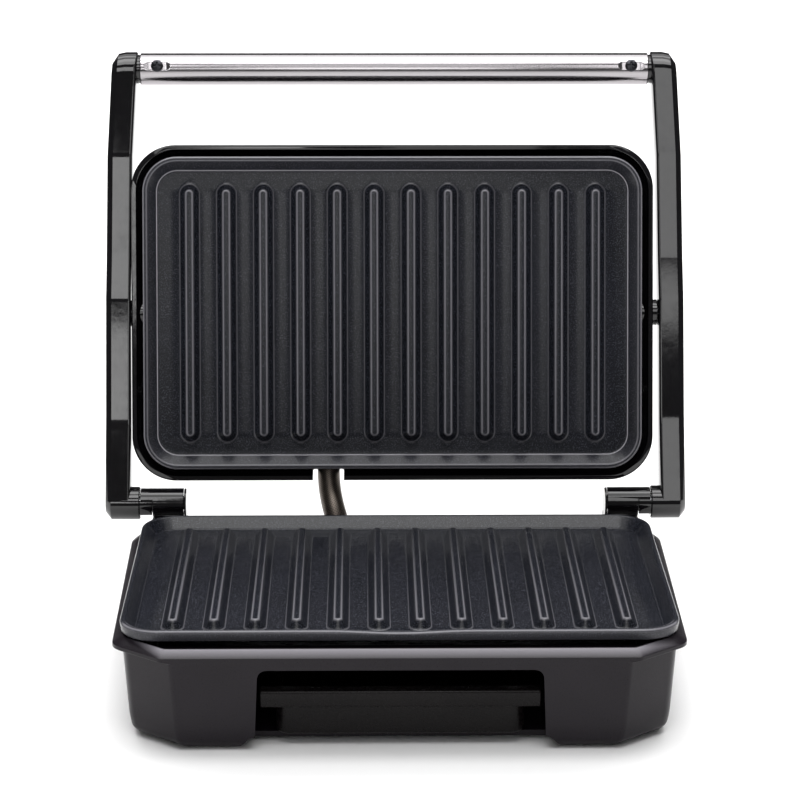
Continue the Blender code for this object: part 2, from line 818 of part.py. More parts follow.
def stud(name, high, side, spot, parent):
    """Round stud with a hexagon washer head, under the plate."""
    profile = [
        (STUD_RADIUS, high),
        (STUD_RADIUS, high + side * (STUD_LENGTH - 0.0030)),
        (STUD_RADIUS * 1.9, high + side * (STUD_LENGTH - 0.0030)),
        (STUD_RADIUS * 1.9, high + side * STUD_LENGTH),
    ]
    if side < 0:
        profile.reverse()
    return lathe(name, profile, "screw_zinc", parent, "Z", spot, 12)


def gland_spot():
    return PLATE_WIDTH / 4, CASING_REAR - 0.0015, GLAND_HEIGHT


def cord_gland():
    """Moulded inlet bush in the rear wall, its bore blind where a mains cord would enter."""
    x, y, z = gland_spot()
    outer = GLAND_RADIUS
    profile = [
        (outer + 0.0022, y - CASING_WALL - 0.0030),
        (outer + 0.0022, y - CASING_WALL - 0.0006),
        (outer, y - CASING_WALL - 0.0006),
        (outer, y + 0.0012),
        (outer + 0.0022, y + 0.0012),
        (outer + 0.0010, y + 0.0050),
        (GLAND_BORE, y + 0.0050),
        (GLAND_BORE, y - 0.0010),
    ]
    return lathe("cord_gland", profile, "foot_rubber", None, "Y", (x, 0.0, z), 16)


# Hinge


def sector(name, inner, outer, start, stop, x0, x1, look, parent=None, centre=(0.0, 0.0)):
    """Ring sector in the YZ plane between two angles in degrees, from x0 to x1."""
    steps = max(2, int(abs(stop - start) // 20))
    outline = arc(centre[0], centre[1], outer, start, stop, steps)
    outline += arc(centre[0], centre[1], inner, stop, start, steps)
    low, high = min(x0, x1), max(x0, x1)
    rings = [[(low, y, z) for y, z in outline], [(high, y, z) for y, z in outline]]
    return loft(name, rings, look, parent)


def hinge_barrels():
    """Barrels on their pedestals, each with the notch that a stop tab runs in, and their caps."""
    swing = -math.degrees(LID_TURN)
    for side, sign in (("left", -1), ("right", 1)):
        name = "hinge_barrel_" + side
        bore = PIN_RADIUS + PIN_CLEARANCE
        ends = sorted((sign * BARREL_INNER, sign * BARREL_OUTER))
        spot = (0.0, HINGE_Y, HINGE_Z)
        made = tube(name, BARREL_RADIUS, bore, ends[0], ends[1], "gloss_black", None, "X", spot, 28)
        low = REAR_DECK_HEIGHT + GAP
        x0 = sign * (BARREL_INNER + 0.0010)
        x1 = sign * (BARREL_OUTER - STOP_WIDTH - 0.0008)
        seat = block(
            "pedestal_" + side,
            (min(x0, x1), HINGE_Y - PEDESTAL_DEPTH / 2, low),
            (max(x0, x1), HINGE_Y + PEDESTAL_DEPTH / 2, HINGE_Z - bore - 0.0006),
            None,
        )
        join(made, seat)
        notch = sector(
            "stop_notch_" + side, STOP_INNER_RADIUS, BARREL_RADIUS + 0.004,
            STOP_TAB_FROM - STOP_PLAY, STOP_TAB_TO + swing + STOP_PLAY,
            sign * (BARREL_OUTER - STOP_WIDTH), sign * (BARREL_OUTER + 0.001), None, None,
            (HINGE_Y, HINGE_Z),
        )
        cut(made, notch)
        cap = [
            (PIN_RADIUS, BARREL_INNER + CAP_SPIGOT),
            (PIN_RADIUS, BARREL_INNER - GAP),
            (BARREL_RADIUS, BARREL_INNER - GAP),
            (BARREL_RADIUS - 0.0003, BARREL_INNER - GAP - CAP_THICKNESS),
        ]
        if sign < 0:
            cap = [(r, -x) for r, x in cap]
        lathe("barrel_cap_" + side, cap, "gloss_black", None, "X", spot, 28)


# Lid arms and handle


def arm_side(narrow, top_drop):
    """Side outline of an arm as (along, down) pairs, pulled in all round by narrow."""
    foot = ARM_FOOT_RADIUS - narrow
    reach = HANDLE_REACH
    front = [
        (reach * 0.182, 0.0052),
        (reach * 0.463, 0.0086),
        (reach * 0.5635, 0.0064),
        (reach * 0.7955, 0.0054),
        (reach - 0.0005, 0.0098),
    ]
    top = [
        (reach + 0.0055, 0.0082),
        (reach + 0.0080, 0.0040),
        (reach + 0.0080, -0.0035),
        (reach + 0.0050, -0.0072),
    ]
    back = [
        (reach - 0.0060, -0.0080),
        (reach * 0.7955, -0.0095),
        (reach * 0.5635, -0.0108),
        (reach * 0.4350, -0.0114),
        (reach * 0.2900, -0.0104),
        (reach * 0.182, -0.0090),
    ]
    round_foot = arc(0.0, 0.0, foot, 270, 90, 8)
    outline = []
    for along, down in front:
        outline.append((along, down - narrow))
    for along, down in top:
        outline.append((along - narrow - top_drop, down * (1 - narrow / 0.02)))
    for along, down in back:
        outline.append((min(along, reach + 0.004 - top_drop), down + narrow))
    return outline + round_foot


def arms_and_handle(lid):
    spot = arm_point(HANDLE_REACH, HANDLE_OFFSET)
    for side, sign in (("left", -1), ("right", 1)):
        rings = []
        for inward, narrow, drop in (
            (0.0, 0.0014, 0.0),
            (0.0014, 0.0, 0.0),
            (0.0075, 0.0, 0.0),
            (ARM_THICKNESS - 0.0030, 0.0, 0.0020),
            (ARM_THICKNESS - 0.0008, 0.0006, 0.0055),
            (ARM_THICKNESS, 0.0018, 0.0080),
        ):
            x = sign * (ARM_INNER + inward)
            points = [arm_point(a, d) for a, d in arm_side(narrow, drop)]
            rings.append([(x, y, z) for y, z in points])
        if sign > 0:
            rings.reverse()
        made = loft("arm_" + side, rings, "gloss_black", lid)
        foot_ends = sorted((sign * FOOT_INNER, sign * (ARM_INNER + 0.0040)))
        foot = lathe(
            "arm_foot_" + side,
            [(ARM_FOOT_RADIUS, foot_ends[0]), (ARM_FOOT_RADIUS, foot_ends[1])],
            None, lid, "X", (0, 0, 0), 28,
        )
        join(made, foot)
        collar = [
            (HANDLE_RADIUS - HANDLE_WALL - GAP, ARM_INNER - HANDLE_END_GAP - TENON_LENGTH),
            (HANDLE_RADIUS - HANDLE_WALL - GAP, ARM_INNER - HANDLE_END_GAP + GAP),
            (HANDLE_RADIUS - 0.0008, ARM_INNER - HANDLE_END_GAP + GAP),
            (HANDLE_RADIUS - 0.0008, ARM_INNER + 0.0030),
        ]
        if sign < 0:
            collar = [(r, -x) for r, x in reversed(collar)]
        join(made, lathe("arm_tenon_" + side, collar, None, lid, "X", (0.0, *spot), 20))
        tab_turn = math.degrees(LID_TURN)
        tab = sector(
            "stop_tab_" + side, STOP_INNER_RADIUS + GAP, BARREL_RADIUS - 0.0002,
            STOP_TAB_FROM - tab_turn, STOP_TAB_TO - tab_turn,
            sign * (BARREL_OUTER - STOP_WIDTH + GAP), sign * (FOOT_INNER + 0.0010), None, lid,
        )
        join(made, tab)
        bore = PIN_RADIUS + PIN_CLEARANCE
        blind = ARM_OUTER - 0.0030
        for label, y, z, near in (
            ("hinge_bore_", 0.0, 0.0, FOOT_INNER - 0.001),
            ("pivot_bore_", PIVOT_Y, PIVOT_Z, ARM_INNER - 0.001),
        ):
            ends = sorted((sign * near, sign * blind))
            cut(made, drill(label + side, bore, ends[0], ends[1], lid, "X", (0.0, y, z)))
        cut(made, handle_screw_bore("tenon_bore_" + side, sign, 0.0019, lid))
        ends = sorted((sign * (BARREL_INNER + 2 * CAP_SPIGOT), sign * (blind - GAP)))
        rod("hinge_pin_" + side, PIN_RADIUS, ends[0], ends[1], "pin_steel", lid, "X")
        near = HOUSING_HALF_WIDTH - 0.0120
        ends = sorted((sign * near, sign * (blind - GAP)))
        pivot = (0.0, PIVOT_Y, PIVOT_Z)
        rod("pivot_pin_" + side, PIN_RADIUS, ends[0], ends[1], "pin_steel", lid, "X", pivot)
    half = ARM_INNER - HANDLE_END_GAP
    bar = tube(
        "handle_tube", HANDLE_RADIUS, HANDLE_RADIUS - HANDLE_WALL, -half, half, "handle_steel", lid,
        "X", (0.0, *spot), 32,
    )
    for side, sign in (("left", -1), ("right", 1)):
        cut(bar, handle_screw_bore("handle_bore_" + side, sign, 0.0019, lid))
        handle_screw("handle_screw_" + side, sign, lid)


def handle_screw_frame(sign):
    """Spot on the tube's face-side surface, and the direction the screw head faces."""
    y, z = arm_point(HANDLE_REACH, HANDLE_OFFSET)
    x = sign * (ARM_INNER - HANDLE_END_GAP - HANDLE_SCREW_INSET)
    return Vector((x, y, z)), ARM_DOWN


def turned_profile(name, profile, sign, look, lid):
    """Turned piece standing on the handle tube, its along axis pointing out of the tube."""
    centre, out = handle_screw_frame(sign)
    side = Vector((1.0, 0.0, 0.0))
    other = out.cross(side)
    rings = []
    for radius, along in profile:
        ring = []
        for angle in np.linspace(0, 2 * math.pi, 16, endpoint=False):
            point = centre + out * along
            point = point + (side * math.cos(angle) + other * math.sin(angle)) * radius
            ring.append(tuple(point))
        rings.append(ring)
    return smooth(loft(name, rings, look, lid))


def handle_screw_bore(name, sign, radius, lid):
    return turned_profile(name, [(radius, -0.0035), (radius, HANDLE_RADIUS + 0.004)], sign, None, lid)


def handle_screw(name, sign, lid):
    seat = HANDLE_RADIUS + 0.0001
    profile = [
        (0.0008, -0.0030),
        (SCREW_SHANK, -0.0018),
        (SCREW_SHANK, seat),
        (HANDLE_SCREW_HEAD, seat),
        (HANDLE_SCREW_HEAD, seat + 0.0006),
        (HANDLE_SCREW_HEAD * 0.72, seat + 0.0013),
    ]
    return turned_profile(name, profile, sign, "screw_black", lid)


# Platen


def housing_outline(inward, steps=4):
    half_x = HOUSING_HALF_WIDTH - inward
    half_y = HOUSING_HALF_DEPTH - inward
    return rounded_rect(half_x, half_y, max(HOUSING_CORNER - inward * 0.5, 0.008), steps)


def housing_form(name, wall, look, parent):
    edge = -PIVOT_ABOVE_RIM + SKIRT_DROP
    top = edge + HOUSING_HEIGHT
    levels = (
        (edge, 0.0006),
        (edge + 0.0008, 0.0),
        (edge + 0.0045, 0.0),
        (edge + 0.0075, 0.0022),
        (edge + 0.0200, 0.0056),
        (top - 0.0060, 0.0100),
        (top - 0.0018, 0.0150),
        (top, 0.0230),
    )
    rings = []
    for index, (height, inward) in enumerate(levels):
        lowered = 0.0
        if wall and index == 0:
            height = edge - 0.004
            inward = 0.0
        if wall and index > 3:
            lowered = wall * min(1.0, (height - edge) / HOUSING_HEIGHT * 1.2)
        rings.append(level(housing_outline(inward + wall), height - lowered))
    return loft(name, rings, look, parent)


def platen_parts(platen):
    """Everything on the platen; x is measured from the platen's own middle."""
    housing = housing_form("lid_housing", 0.0, "gloss_black", platen)
    cut(housing, housing_form("housing_hollow_cut", HOUSING_WALL, None, platen))
    edge = -PIVOT_ABOVE_RIM + SKIRT_DROP
    outline = [(NOTCH_X - NOTCH_HALF_WIDTH, edge - 0.002), (NOTCH_X + NOTCH_HALF_WIDTH, edge - 0.002)]
    outline += arc(NOTCH_X, 0.0020, NOTCH_HALF_WIDTH, 0, 180, 6)
    near = [(x, HOUSING_HALF_DEPTH - 0.0120, z) for x, z in outline]
    far = [(x, HOUSING_HALF_DEPTH + 0.0050, z) for x, z in outline]
    cut(housing, loft("conduit_notch_cut", [near, far], None, platen))
    for side, sign in (("left", -1), ("right", 1)):
        wall_bore = sorted((sign * (HOUSING_HALF_WIDTH - 0.014), sign * (HOUSING_HALF_WIDTH + 0.004)))
        radius = PIVOT_BOSS_RADIUS + GAP
        cut(housing, drill("pivot_hole_" + side, radius, *wall_bore, platen, "X", (0, 0, 0), 20))
        reach = ARM_INNER - GAP + sign * PLATEN_SHIFT
        ends = sorted((sign * (HOUSING_HALF_WIDTH - 0.0080), sign * reach))
        tube(
            "pivot_bush_" + side, PIVOT_BOSS_RADIUS, PIN_RADIUS + PIN_CLEARANCE, ends[0], ends[1],
            "gloss_black", platen, "X", (0, 0, 0), 20,
        )
    lamp_y = -HOUSING_HALF_DEPTH * 0.52
    top = edge + HOUSING_HEIGHT
    for name, sign, look in (("power_lamp", -1, "lens_red"), ("ready_lamp", 1, "lens_green")):
        spot = (sign * LAMP_SPACING / 2, lamp_y, 0.0)
        radius = LAMP_RADIUS + GAP
        cut(housing, drill(name + "_hole_cut", radius, top - 0.01, top + 0.01, platen, "Z", spot, 14))
        profile = [
            (LAMP_RADIUS, top - 0.0060),
            (LAMP_RADIUS, top + 0.0004),
            (LAMP_RADIUS * 0.75, top + 0.0010),
        ]
        lathe(name, profile, look, platen, "Z", spot, 14)
    underside = -PIVOT_ABOVE_RIM + PLATE_DROP
    element_height = underside + GAP + ELEMENT_RADIUS
    heating_element("upper_heating_element", element_height, platen)
    pan = element_height + ELEMENT_RADIUS + GAP + REFLECTOR_SHEET
    reflector("upper_reflector", pan, -1, platen)
    low = pan + GAP
    disc = [
        (THERMOSTAT_RADIUS, low),
        (THERMOSTAT_RADIUS, low + 0.0030),
        (THERMOSTAT_RADIUS - 0.0030, low + 0.0030),
        (THERMOSTAT_RADIUS - 0.0030, low + THERMOSTAT_HEIGHT),
    ]
    lathe("upper_thermostat", disc, "ceramic_body", platen, "Z", (PLATE_WIDTH / 6, 0.010, 0.0), 16)
    for side, sign in (("left", -1), ("right", 1)):
        spot = (sign * (PLATE_WIDTH / 2 - 0.0125), PLATE_DEPTH / 4, 0.0)
        stud("upper_plate_stud_" + side, underside + GAP, 1, spot, platen)


def conduit_parts():
    path = conduit_path()
    sweep("steel_conduit", path, CONDUIT_RADIUS, "braid_steel", None, 16)
    spot = path[0]
    low = REAR_SHELF_HEIGHT - CASING_WALL - 0.0020
    profile = [
        (CONDUIT_RADIUS + FERRULE_WALL, low),
        (CONDUIT_RADIUS + FERRULE_WALL, REAR_SHELF_HEIGHT + 0.0030),
        (CONDUIT_RADIUS + GAP, REAR_SHELF_HEIGHT + 0.0030),
        (CONDUIT_RADIUS + GAP, low),
    ]
    lathe("conduit_grommet", profile, "foot_rubber", None, "Z", (spot.x, spot.y, 0.0), 20, bored=True)


def set_on_origin():
    """Moves the whole press so that the middle of its footprint box is at the origin."""
    bpy.context.view_layer.update()
    graph = bpy.context.evaluated_depsgraph_get()
    corners = []
    for item in bpy.context.scene.objects:
        if item.type != "MESH" or item.hide_render:
            continue
        mesh = item.evaluated_get(graph).to_mesh()
        points = np.empty(len(mesh.vertices) * 3, np.float32)
        mesh.vertices.foreach_get("co", points)
        points = points.reshape(-1, 3)
        world = np.array(item.matrix_world)
        corners.append(points @ world[:3, :3].T + world[:3, 3])
        item.evaluated_get(graph).to_mesh_clear()
    points = np.concatenate(corners)
    middle = (points.min(axis=0) + points.max(axis=0)) / 2
    shift = Vector((-middle[0], -middle[1], -points[:, 2].min()))
    for item in bpy.context.scene.objects:
        if item.parent is None:
            item.location = item.location + shift
    print("origin moved by", [round(value, 9) for value in shift])


def main():
    clear_scene()
    base_casing()
    bottom_cover()
    feet()
    cover_screws()
    lower_plate()
    inner_base_parts()
    drip_tray()
    hinge_barrels()
    conduit_parts()
    lid = axis_frame("lid_hinge_axis", (0.0, HINGE_Y, HINGE_Z), LID_TURN)
    arms_and_handle(lid)
    pivot = (-PLATEN_SHIFT, PIVOT_Y, PIVOT_Z)
    platen = axis_frame("platen_pivot_axis", pivot, PLATEN_TURN - LID_TURN, lid)
    upper_plate(platen)
    platen_parts(platen)
    set_on_origin()


main()
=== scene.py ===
import json
import logging
import math
from collections.abc import Callable, Iterator
from contextlib import contextmanager
from dataclasses import dataclass, field, replace
from enum import Enum

import bmesh
import bpy
import numpy as np
from mathutils import Matrix, Vector

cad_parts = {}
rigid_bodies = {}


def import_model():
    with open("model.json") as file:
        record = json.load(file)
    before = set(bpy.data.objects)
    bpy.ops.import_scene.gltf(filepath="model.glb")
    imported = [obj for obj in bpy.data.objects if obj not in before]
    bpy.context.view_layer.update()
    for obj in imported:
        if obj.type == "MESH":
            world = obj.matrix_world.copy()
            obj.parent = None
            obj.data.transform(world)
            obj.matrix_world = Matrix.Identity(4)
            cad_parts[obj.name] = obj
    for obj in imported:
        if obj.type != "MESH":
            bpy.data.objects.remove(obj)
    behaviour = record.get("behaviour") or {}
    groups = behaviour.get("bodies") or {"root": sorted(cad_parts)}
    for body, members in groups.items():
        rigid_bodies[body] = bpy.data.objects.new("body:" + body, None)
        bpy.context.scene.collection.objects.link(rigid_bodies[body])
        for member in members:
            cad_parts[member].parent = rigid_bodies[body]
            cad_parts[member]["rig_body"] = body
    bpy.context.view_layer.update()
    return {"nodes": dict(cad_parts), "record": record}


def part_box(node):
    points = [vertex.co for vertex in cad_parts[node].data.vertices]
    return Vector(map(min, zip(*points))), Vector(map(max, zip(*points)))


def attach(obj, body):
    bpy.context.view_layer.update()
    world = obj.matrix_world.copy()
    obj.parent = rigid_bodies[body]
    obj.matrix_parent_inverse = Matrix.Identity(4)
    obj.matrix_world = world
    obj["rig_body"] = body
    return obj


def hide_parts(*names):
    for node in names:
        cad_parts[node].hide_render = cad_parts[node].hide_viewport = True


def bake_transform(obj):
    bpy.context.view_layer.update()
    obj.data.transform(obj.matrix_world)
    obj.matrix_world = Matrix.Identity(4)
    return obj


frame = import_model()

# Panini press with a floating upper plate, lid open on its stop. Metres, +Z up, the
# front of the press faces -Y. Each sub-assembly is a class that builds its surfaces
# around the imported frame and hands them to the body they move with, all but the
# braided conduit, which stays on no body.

LOG = logging.getLogger("panini_press")
MM = 0.001
MERGE = 1e-6
FULL_TURN = 2 * math.pi
Place = Callable[[np.ndarray], np.ndarray]


class Body(Enum):
    """Moving bodies of the press."""

    BASE = "base"
    ARMS = "lid_arms"
    PLATEN = "platen"
    TRAY = "tray"


# Finishes

# Parts of a noise's range that the colour's clouds and the gloss are spread over, and
# the step of noise over which a fleck fades in.
CLOUD_RANGE = (0.35, 0.65)
GRAIN_RANGE = (0.3, 0.7)
FLECK_EDGE = 0.07


def linear(hexcode: str) -> tuple[float, float, float, float]:
    """Linear RGBA of an sRGB colour.

    Args:
        hexcode: colour such as "#3A3B40".

    Returns:
        Linear red, green, blue and an alpha of one.
    """
    values = [int(hexcode[i : i + 2], 16) / 255 for i in (1, 3, 5)]
    red, green, blue = (
        v / 12.92 if v <= 0.04045 else ((v + 0.055) / 1.055) ** 2.4 for v in values
    )
    return red, green, blue, 1.0


def add_node(
    tree: bpy.types.NodeTree,
    kind: str,
    settings: dict | None = None,
    links: dict | None = None,
) -> bpy.types.Node:
    """Adds one node with its settings and the links into it.

    Args:
        tree: node tree that gets the node.
        kind: Blender's node type.
        settings: values by property name or input name.
        links: output sockets by input name.

    Returns:
        The new node.
    """
    made = tree.nodes.new(kind)
    for key, value in (settings or {}).items():
        if isinstance(key, str) and hasattr(made, key):
            setattr(made, key, value)
        else:
            made.inputs[key].default_value = value
    for key, source in (links or {}).items():
        tree.links.new(source, made.inputs[key])
    return made


def ranged(
    tree: bpy.types.NodeTree,
    value: bpy.types.NodeSocket,
    source: tuple[float, float],
    target: tuple[float, float] = (0.0, 1.0),
) -> bpy.types.NodeSocket:
    """Value mapped from one range to another and held inside it.

    Args:
        tree: node tree.
        value: socket to map.
        source: range that it comes in.
        target: range that it leaves in.

    Returns:
        The mapped value's socket.
    """
    settings = dict(zip(("From Min", "From Max", "To Min", "To Max"), (*source, *target)))
    return add_node(tree, "ShaderNodeMapRange", settings, {"Value": value}).outputs["Result"]


def painted(
    tree: bpy.types.NodeTree,
    under: bpy.types.NodeSocket,
    hexcode: str,
    share: bpy.types.NodeSocket,
) -> bpy.types.NodeSocket:
    """Colour with another one laid over it.

    Args:
        tree: node tree.
        under: colour socket underneath.
        hexcode: colour on top.
        share: socket that says how much of the top colour shows.

    Returns:
        The mixed colour's socket.
    """
    links = {"Fac": share, "Color1": under}
    top = {"Color2": linear(hexcode)}
    return add_node(tree, "ShaderNodeMixRGB", top, links).outputs["Color"]


@dataclass(frozen=True)
class Finish:
    """Look of one real surface: colour, gloss and fine relief, all at true scale.

    Sizes are in millimetres. The colour drifts between base and second in soft
    clouds, flecks are hard-edged specks, and painted_light_colour is painted light laid
    on where the piece's own painted_light attribute says: a painted highlight on the
    plates and the casing, painted shade on the braid.
    """

    name: str
    base: str
    second: str
    drift: float = 25.0
    rough: tuple[float, float] = (0.3, 0.4)
    metallic: float = 0.0
    ior: float = 1.5
    grain: float = 0.6
    depth: float = 0.01
    stretch: tuple[float, float, float] = (1.0, 1.0, 1.0)
    fleck: str = ""
    fleck_size: float = 0.5
    fleck_level: float = 0.6
    painted_light_colour: str = ""
    transmission: float = 0.0
    specular: float = 0.5

    def build(self) -> bpy.types.Material:
        """Makes the node material.

        Returns:
            The material, named after the finish.
        """
        material = bpy.data.materials.new(self.name)
        material.use_nodes = True
        tree = material.node_tree
        shader = tree.nodes["Principled BSDF"]
        shader.inputs["Metallic"].default_value = self.metallic
        if not self.metallic:
            shader.inputs["IOR"].default_value = self.ior
        shader.inputs["Specular IOR Level"].default_value = self.specular
        shader.inputs["Transmission Weight"].default_value = self.transmission
        plain = add_node(tree, "ShaderNodeTexCoord").outputs["Object"]
        stretch = {"Scale": self.stretch}
        mapped = add_node(tree, "ShaderNodeMapping", stretch, {"Vector": plain}).outputs["Vector"]
        grain = self.noise(tree, self.grain, 3.0, mapped)
        relief = {"Strength": 1.0, "Distance": self.depth * MM}
        bump = add_node(tree, "ShaderNodeBump", relief, {"Height": grain})
        for source, target in (
            (self.colour(tree, plain, mapped), "Base Color"),
            (ranged(tree, grain, GRAIN_RANGE, self.rough), "Roughness"),
            (bump.outputs["Normal"], "Normal"),
        ):
            tree.links.new(source, shader.inputs[target])
        return material

    def noise(
        self, tree: bpy.types.NodeTree, size: float, detail: float, vector: bpy.types.NodeSocket
    ) -> bpy.types.NodeSocket:
        """Noise whose features are about size millimetres.

        Args:
            tree: node tree.
            size: feature size in millimetres.
            detail: octaves of finer noise.
            vector: coordinates in metres.

        Returns:
            The noise value socket.
        """
        settings = {"Scale": 1.0 / (size * MM), "Detail": detail, "Roughness": 0.55}
        return add_node(tree, "ShaderNodeTexNoise", settings, {"Vector": vector}).outputs["Fac"]

    def colour(
        self,
        tree: bpy.types.NodeTree,
        plain: bpy.types.NodeSocket,
        mapped: bpy.types.NodeSocket,
    ) -> bpy.types.NodeSocket:
        """Colour with its drift, flecks and painted light.

        Args:
            tree: node tree.
            plain: object coordinates.
            mapped: object coordinates stretched along the grain.

        Returns:
            The colour socket.
        """
        clouds = ranged(tree, self.noise(tree, self.drift, 2.0, mapped), CLOUD_RANGE)
        shades = {"Color1": linear(self.base), "Color2": linear(self.second)}
        mixed = add_node(tree, "ShaderNodeMixRGB", shades, {"Fac": clouds}).outputs["Color"]
        if self.fleck:
            specks = self.noise(tree, self.fleck_size, 1.0, plain)
            edge = (self.fleck_level, self.fleck_level + FLECK_EDGE)
            mixed = painted(tree, mixed, self.fleck, ranged(tree, specks, edge))
        # Painted light: the finish's painted highlight or painted shade colour, laid on where the
        # piece's share of painted light says.
        if self.painted_light_colour:
            painted_light = add_node(tree, "ShaderNodeAttribute", {"attribute_name": "painted_light"})
            mixed = painted(tree, mixed, self.painted_light_colour, painted_light.outputs["Fac"])
        return mixed


# Moulded ABS, tumbled tool surface: soft sheen with a faint pebble. Its light extra colour is a
# painted highlight for the front chamfer.
SATIN_ABS = Finish(
    "moulded_satin_abs", "#151016", "#19141A", rough=(0.26, 0.36), ior=1.53, specular=0.19,
    grain=0.45, depth=0.008, fleck="#1E1B20", fleck_size=0.35, painted_light_colour="#7E7B81",
)
# Moulded ABS from a polished tool: deep black with clear reflections.
GLOSS_ABS = Finish(
    "polished_gloss_abs", "#0A090B", "#0E0D10", rough=(0.05, 0.09), ior=1.53, grain=4.0,
    depth=0.012,
)
# Moulded polypropylene tray: darker than the casing, with a weaker sheen.
TRAY_PP = Finish(
    "moulded_tray_polypropylene", "#0B0809", "#0E0B0B", rough=(0.24, 0.34), ior=1.49,
    specular=0.14, depth=0.010, fleck="#1C191B", fleck_size=0.4, fleck_level=0.61,
)
# Sprayed non-stick coat on die-cast aluminium: fine light speckle and a dull sheen. Its
# light extra colour is painted highlight on rim and rib edges and painted light on the outer side
# wall.
NONSTICK = Finish(
    "sprayed_nonstick_on_cast_aluminium", "#111318", "#15171D", rough=(0.18, 0.27), ior=1.40,
    specular=0.38, grain=0.5, depth=0.020, fleck="#3A3B43", fleck_size=0.42,
    fleck_level=0.575, painted_light_colour="#A9A7AE",
)
# Stainless steel tube, brushed along its length after drawing.
BRUSHED_STEEL = Finish(
    "brushed_stainless_430", "#A09C9F", "#ABA8AA", drift=6.0, rough=(0.12, 0.19), metallic=1.0,
    grain=0.5, depth=0.002, stretch=(0.02, 1.0, 1.0),
)
# Steel screws blackened in an oxide bath.
BLACK_OXIDE = Finish(
    "black_oxide_steel", "#3A3A3D", "#454549", rough=(0.28, 0.40), metallic=1.0, grain=0.4,
    depth=0.008,
)
# Tinned steel braid, dulled by heat: warm grey strands, with painted shade in the darker gaps
# between them.
BRAID = Finish(
    "heat_dulled_steel_braid", "#625A54", "#6E665F", drift=4.0, rough=(0.26, 0.38),
    metallic=1.0, grain=0.4, painted_light_colour="#1D1A18",
)
# Drawn steel rod, left bright.
BRIGHT_STEEL = Finish(
    "drawn_bright_steel", "#A9AAAD", "#B7B8BB", rough=(0.20, 0.32), metallic=1.0, grain=0.4,
    depth=0.004,
)
# Steel screws plated with zinc and passivated.
ZINC_STEEL = Finish(
    "zinc_plated_steel", "#B4B6B4", "#A8ACB4", drift=3.0, rough=(0.26, 0.38), metallic=1.0,
    grain=0.3, depth=0.006,
)
# Moulded soft rubber: nearly no gloss.
RUBBER = Finish(
    "moulded_soft_rubber", "#151515", "#1C1B1B", rough=(0.70, 0.85), ior=1.52, grain=0.35,
    depth=0.020,
)
# Nickel alloy sheath of the heating rod, oxidised by its first firing.
FIRED_SHEATH = Finish(
    "fired_alloy_sheath", "#4A4C46", "#3A3834", drift=8.0, rough=(0.42, 0.58), metallic=1.0,
    grain=0.3,
)
# Rolled aluminised sheet with fine mill lines.
MILL_SHEET = Finish(
    "rolled_aluminised_sheet", "#BFC1C2", "#CACCCD", rough=(0.24, 0.36), metallic=1.0,
    grain=0.5, depth=0.006, stretch=(0.05, 1.0, 1.0),
)
# Pressed steatite, unglazed.
STEATITE = Finish(
    "pressed_steatite", "#DDD6C6", "#E8E2D4", rough=(0.55, 0.70), ior=1.60, grain=0.4, depth=0.015,
)
# Pressed brown phenolic, slightly marbled.
PHENOLIC = Finish(
    "pressed_brown_phenolic", "#4A2C1B", "#5A3823", drift=5.0, rough=(0.32, 0.45), ior=1.63,
    grain=0.5,
)
# Tinted polycarbonate lamp covers.
RED_LENS = Finish(
    "tinted_red_polycarbonate", "#A3160F", "#B51E14", rough=(0.06, 0.12), ior=1.585,
    grain=3.0, depth=0.004, transmission=0.25,
)
GREEN_LENS = replace(
    RED_LENS, name="tinted_green_polycarbonate", base="#1C7A2C", second="#258A36"
)
# Matt studio paper.
PAPER = Finish(
    "matt_studio_paper", "#F4F3F3", "#F6F6F6", drift=400.0, rough=(0.85, 0.9), ior=1.45,
    grain=2.0, depth=0.004,
)


class Slot(Enum):
    """Material slots of the record, each with the finish that fills it."""

    BASE_BLACK = ("base_black", SATIN_ABS)
    GLOSS_BLACK = ("gloss_black", GLOSS_ABS)
    TRAY_BLACK = ("tray_black", TRAY_PP)
    PLATE_COAT = ("plate_coat", NONSTICK)
    HANDLE_STEEL = ("handle_steel", BRUSHED_STEEL)
    SCREW_BLACK = ("screw_black", BLACK_OXIDE)
    SCREW_ZINC = ("screw_zinc", ZINC_STEEL)
    PIN_STEEL = ("pin_steel", BRIGHT_STEEL)
    BRAID_STEEL = ("braid_steel", BRAID)
    FOOT_RUBBER = ("foot_rubber", RUBBER)
    ELEMENT_SHEATH = ("element_sheath", FIRED_SHEATH)
    REFLECTOR_SHEET = ("reflector_sheet", MILL_SHEET)
    CERAMIC_BODY = ("ceramic_body", STEATITE)
    PHENOLIC_BROWN = ("phenolic_brown", PHENOLIC)
    LENS_RED = ("lens_red", RED_LENS)
    LENS_GREEN = ("lens_green", GREEN_LENS)

    def material(self) -> bpy.types.Material:
        """The slot's node material, made once."""
        finish = self.value[1]
        return bpy.data.materials.get(finish.name) or finish.build()


# Surface mathematics


def rounded_rect(
    half_x: float, half_y: float, radius: float, xs: np.ndarray, ys: np.ndarray, steps: int
) -> np.ndarray:
    """Rounded rectangle, counterclockwise, with straight sides sampled at xs and ys.

    Args:
        half_x: half width.
        half_y: half depth.
        radius: corner radius.
        xs: places along the straight front and rear, from -1 to 1.
        ys: places along the straight sides, from -1 to 1.
        steps: points of each corner's quarter circle.

    Returns:
        Points as an (n, 2) array.
    """
    flat_x = half_x - radius
    flat_y = half_y - radius
    angles = np.radians(np.linspace(0.0, 90.0, steps + 2)[1:-1])
    sides = []
    for corner, (sign_x, sign_y) in enumerate(((1, -1), (1, 1), (-1, 1), (-1, -1))):
        if corner % 2 == 0:
            straight = (sign_x * xs * flat_x, np.full(len(xs), sign_y * half_y))
        else:
            straight = (np.full(len(ys), sign_x * half_x), sign_y * ys * flat_y)
        turn = angles + math.pi / 2 * (corner - 1)
        middle_x, middle_y = sign_x * flat_x, sign_y * flat_y
        bend = (middle_x + radius * np.cos(turn), middle_y + radius * np.sin(turn))
        sides += [np.stack(straight, 1), np.stack(bend, 1)]
    return np.concatenate(sides)


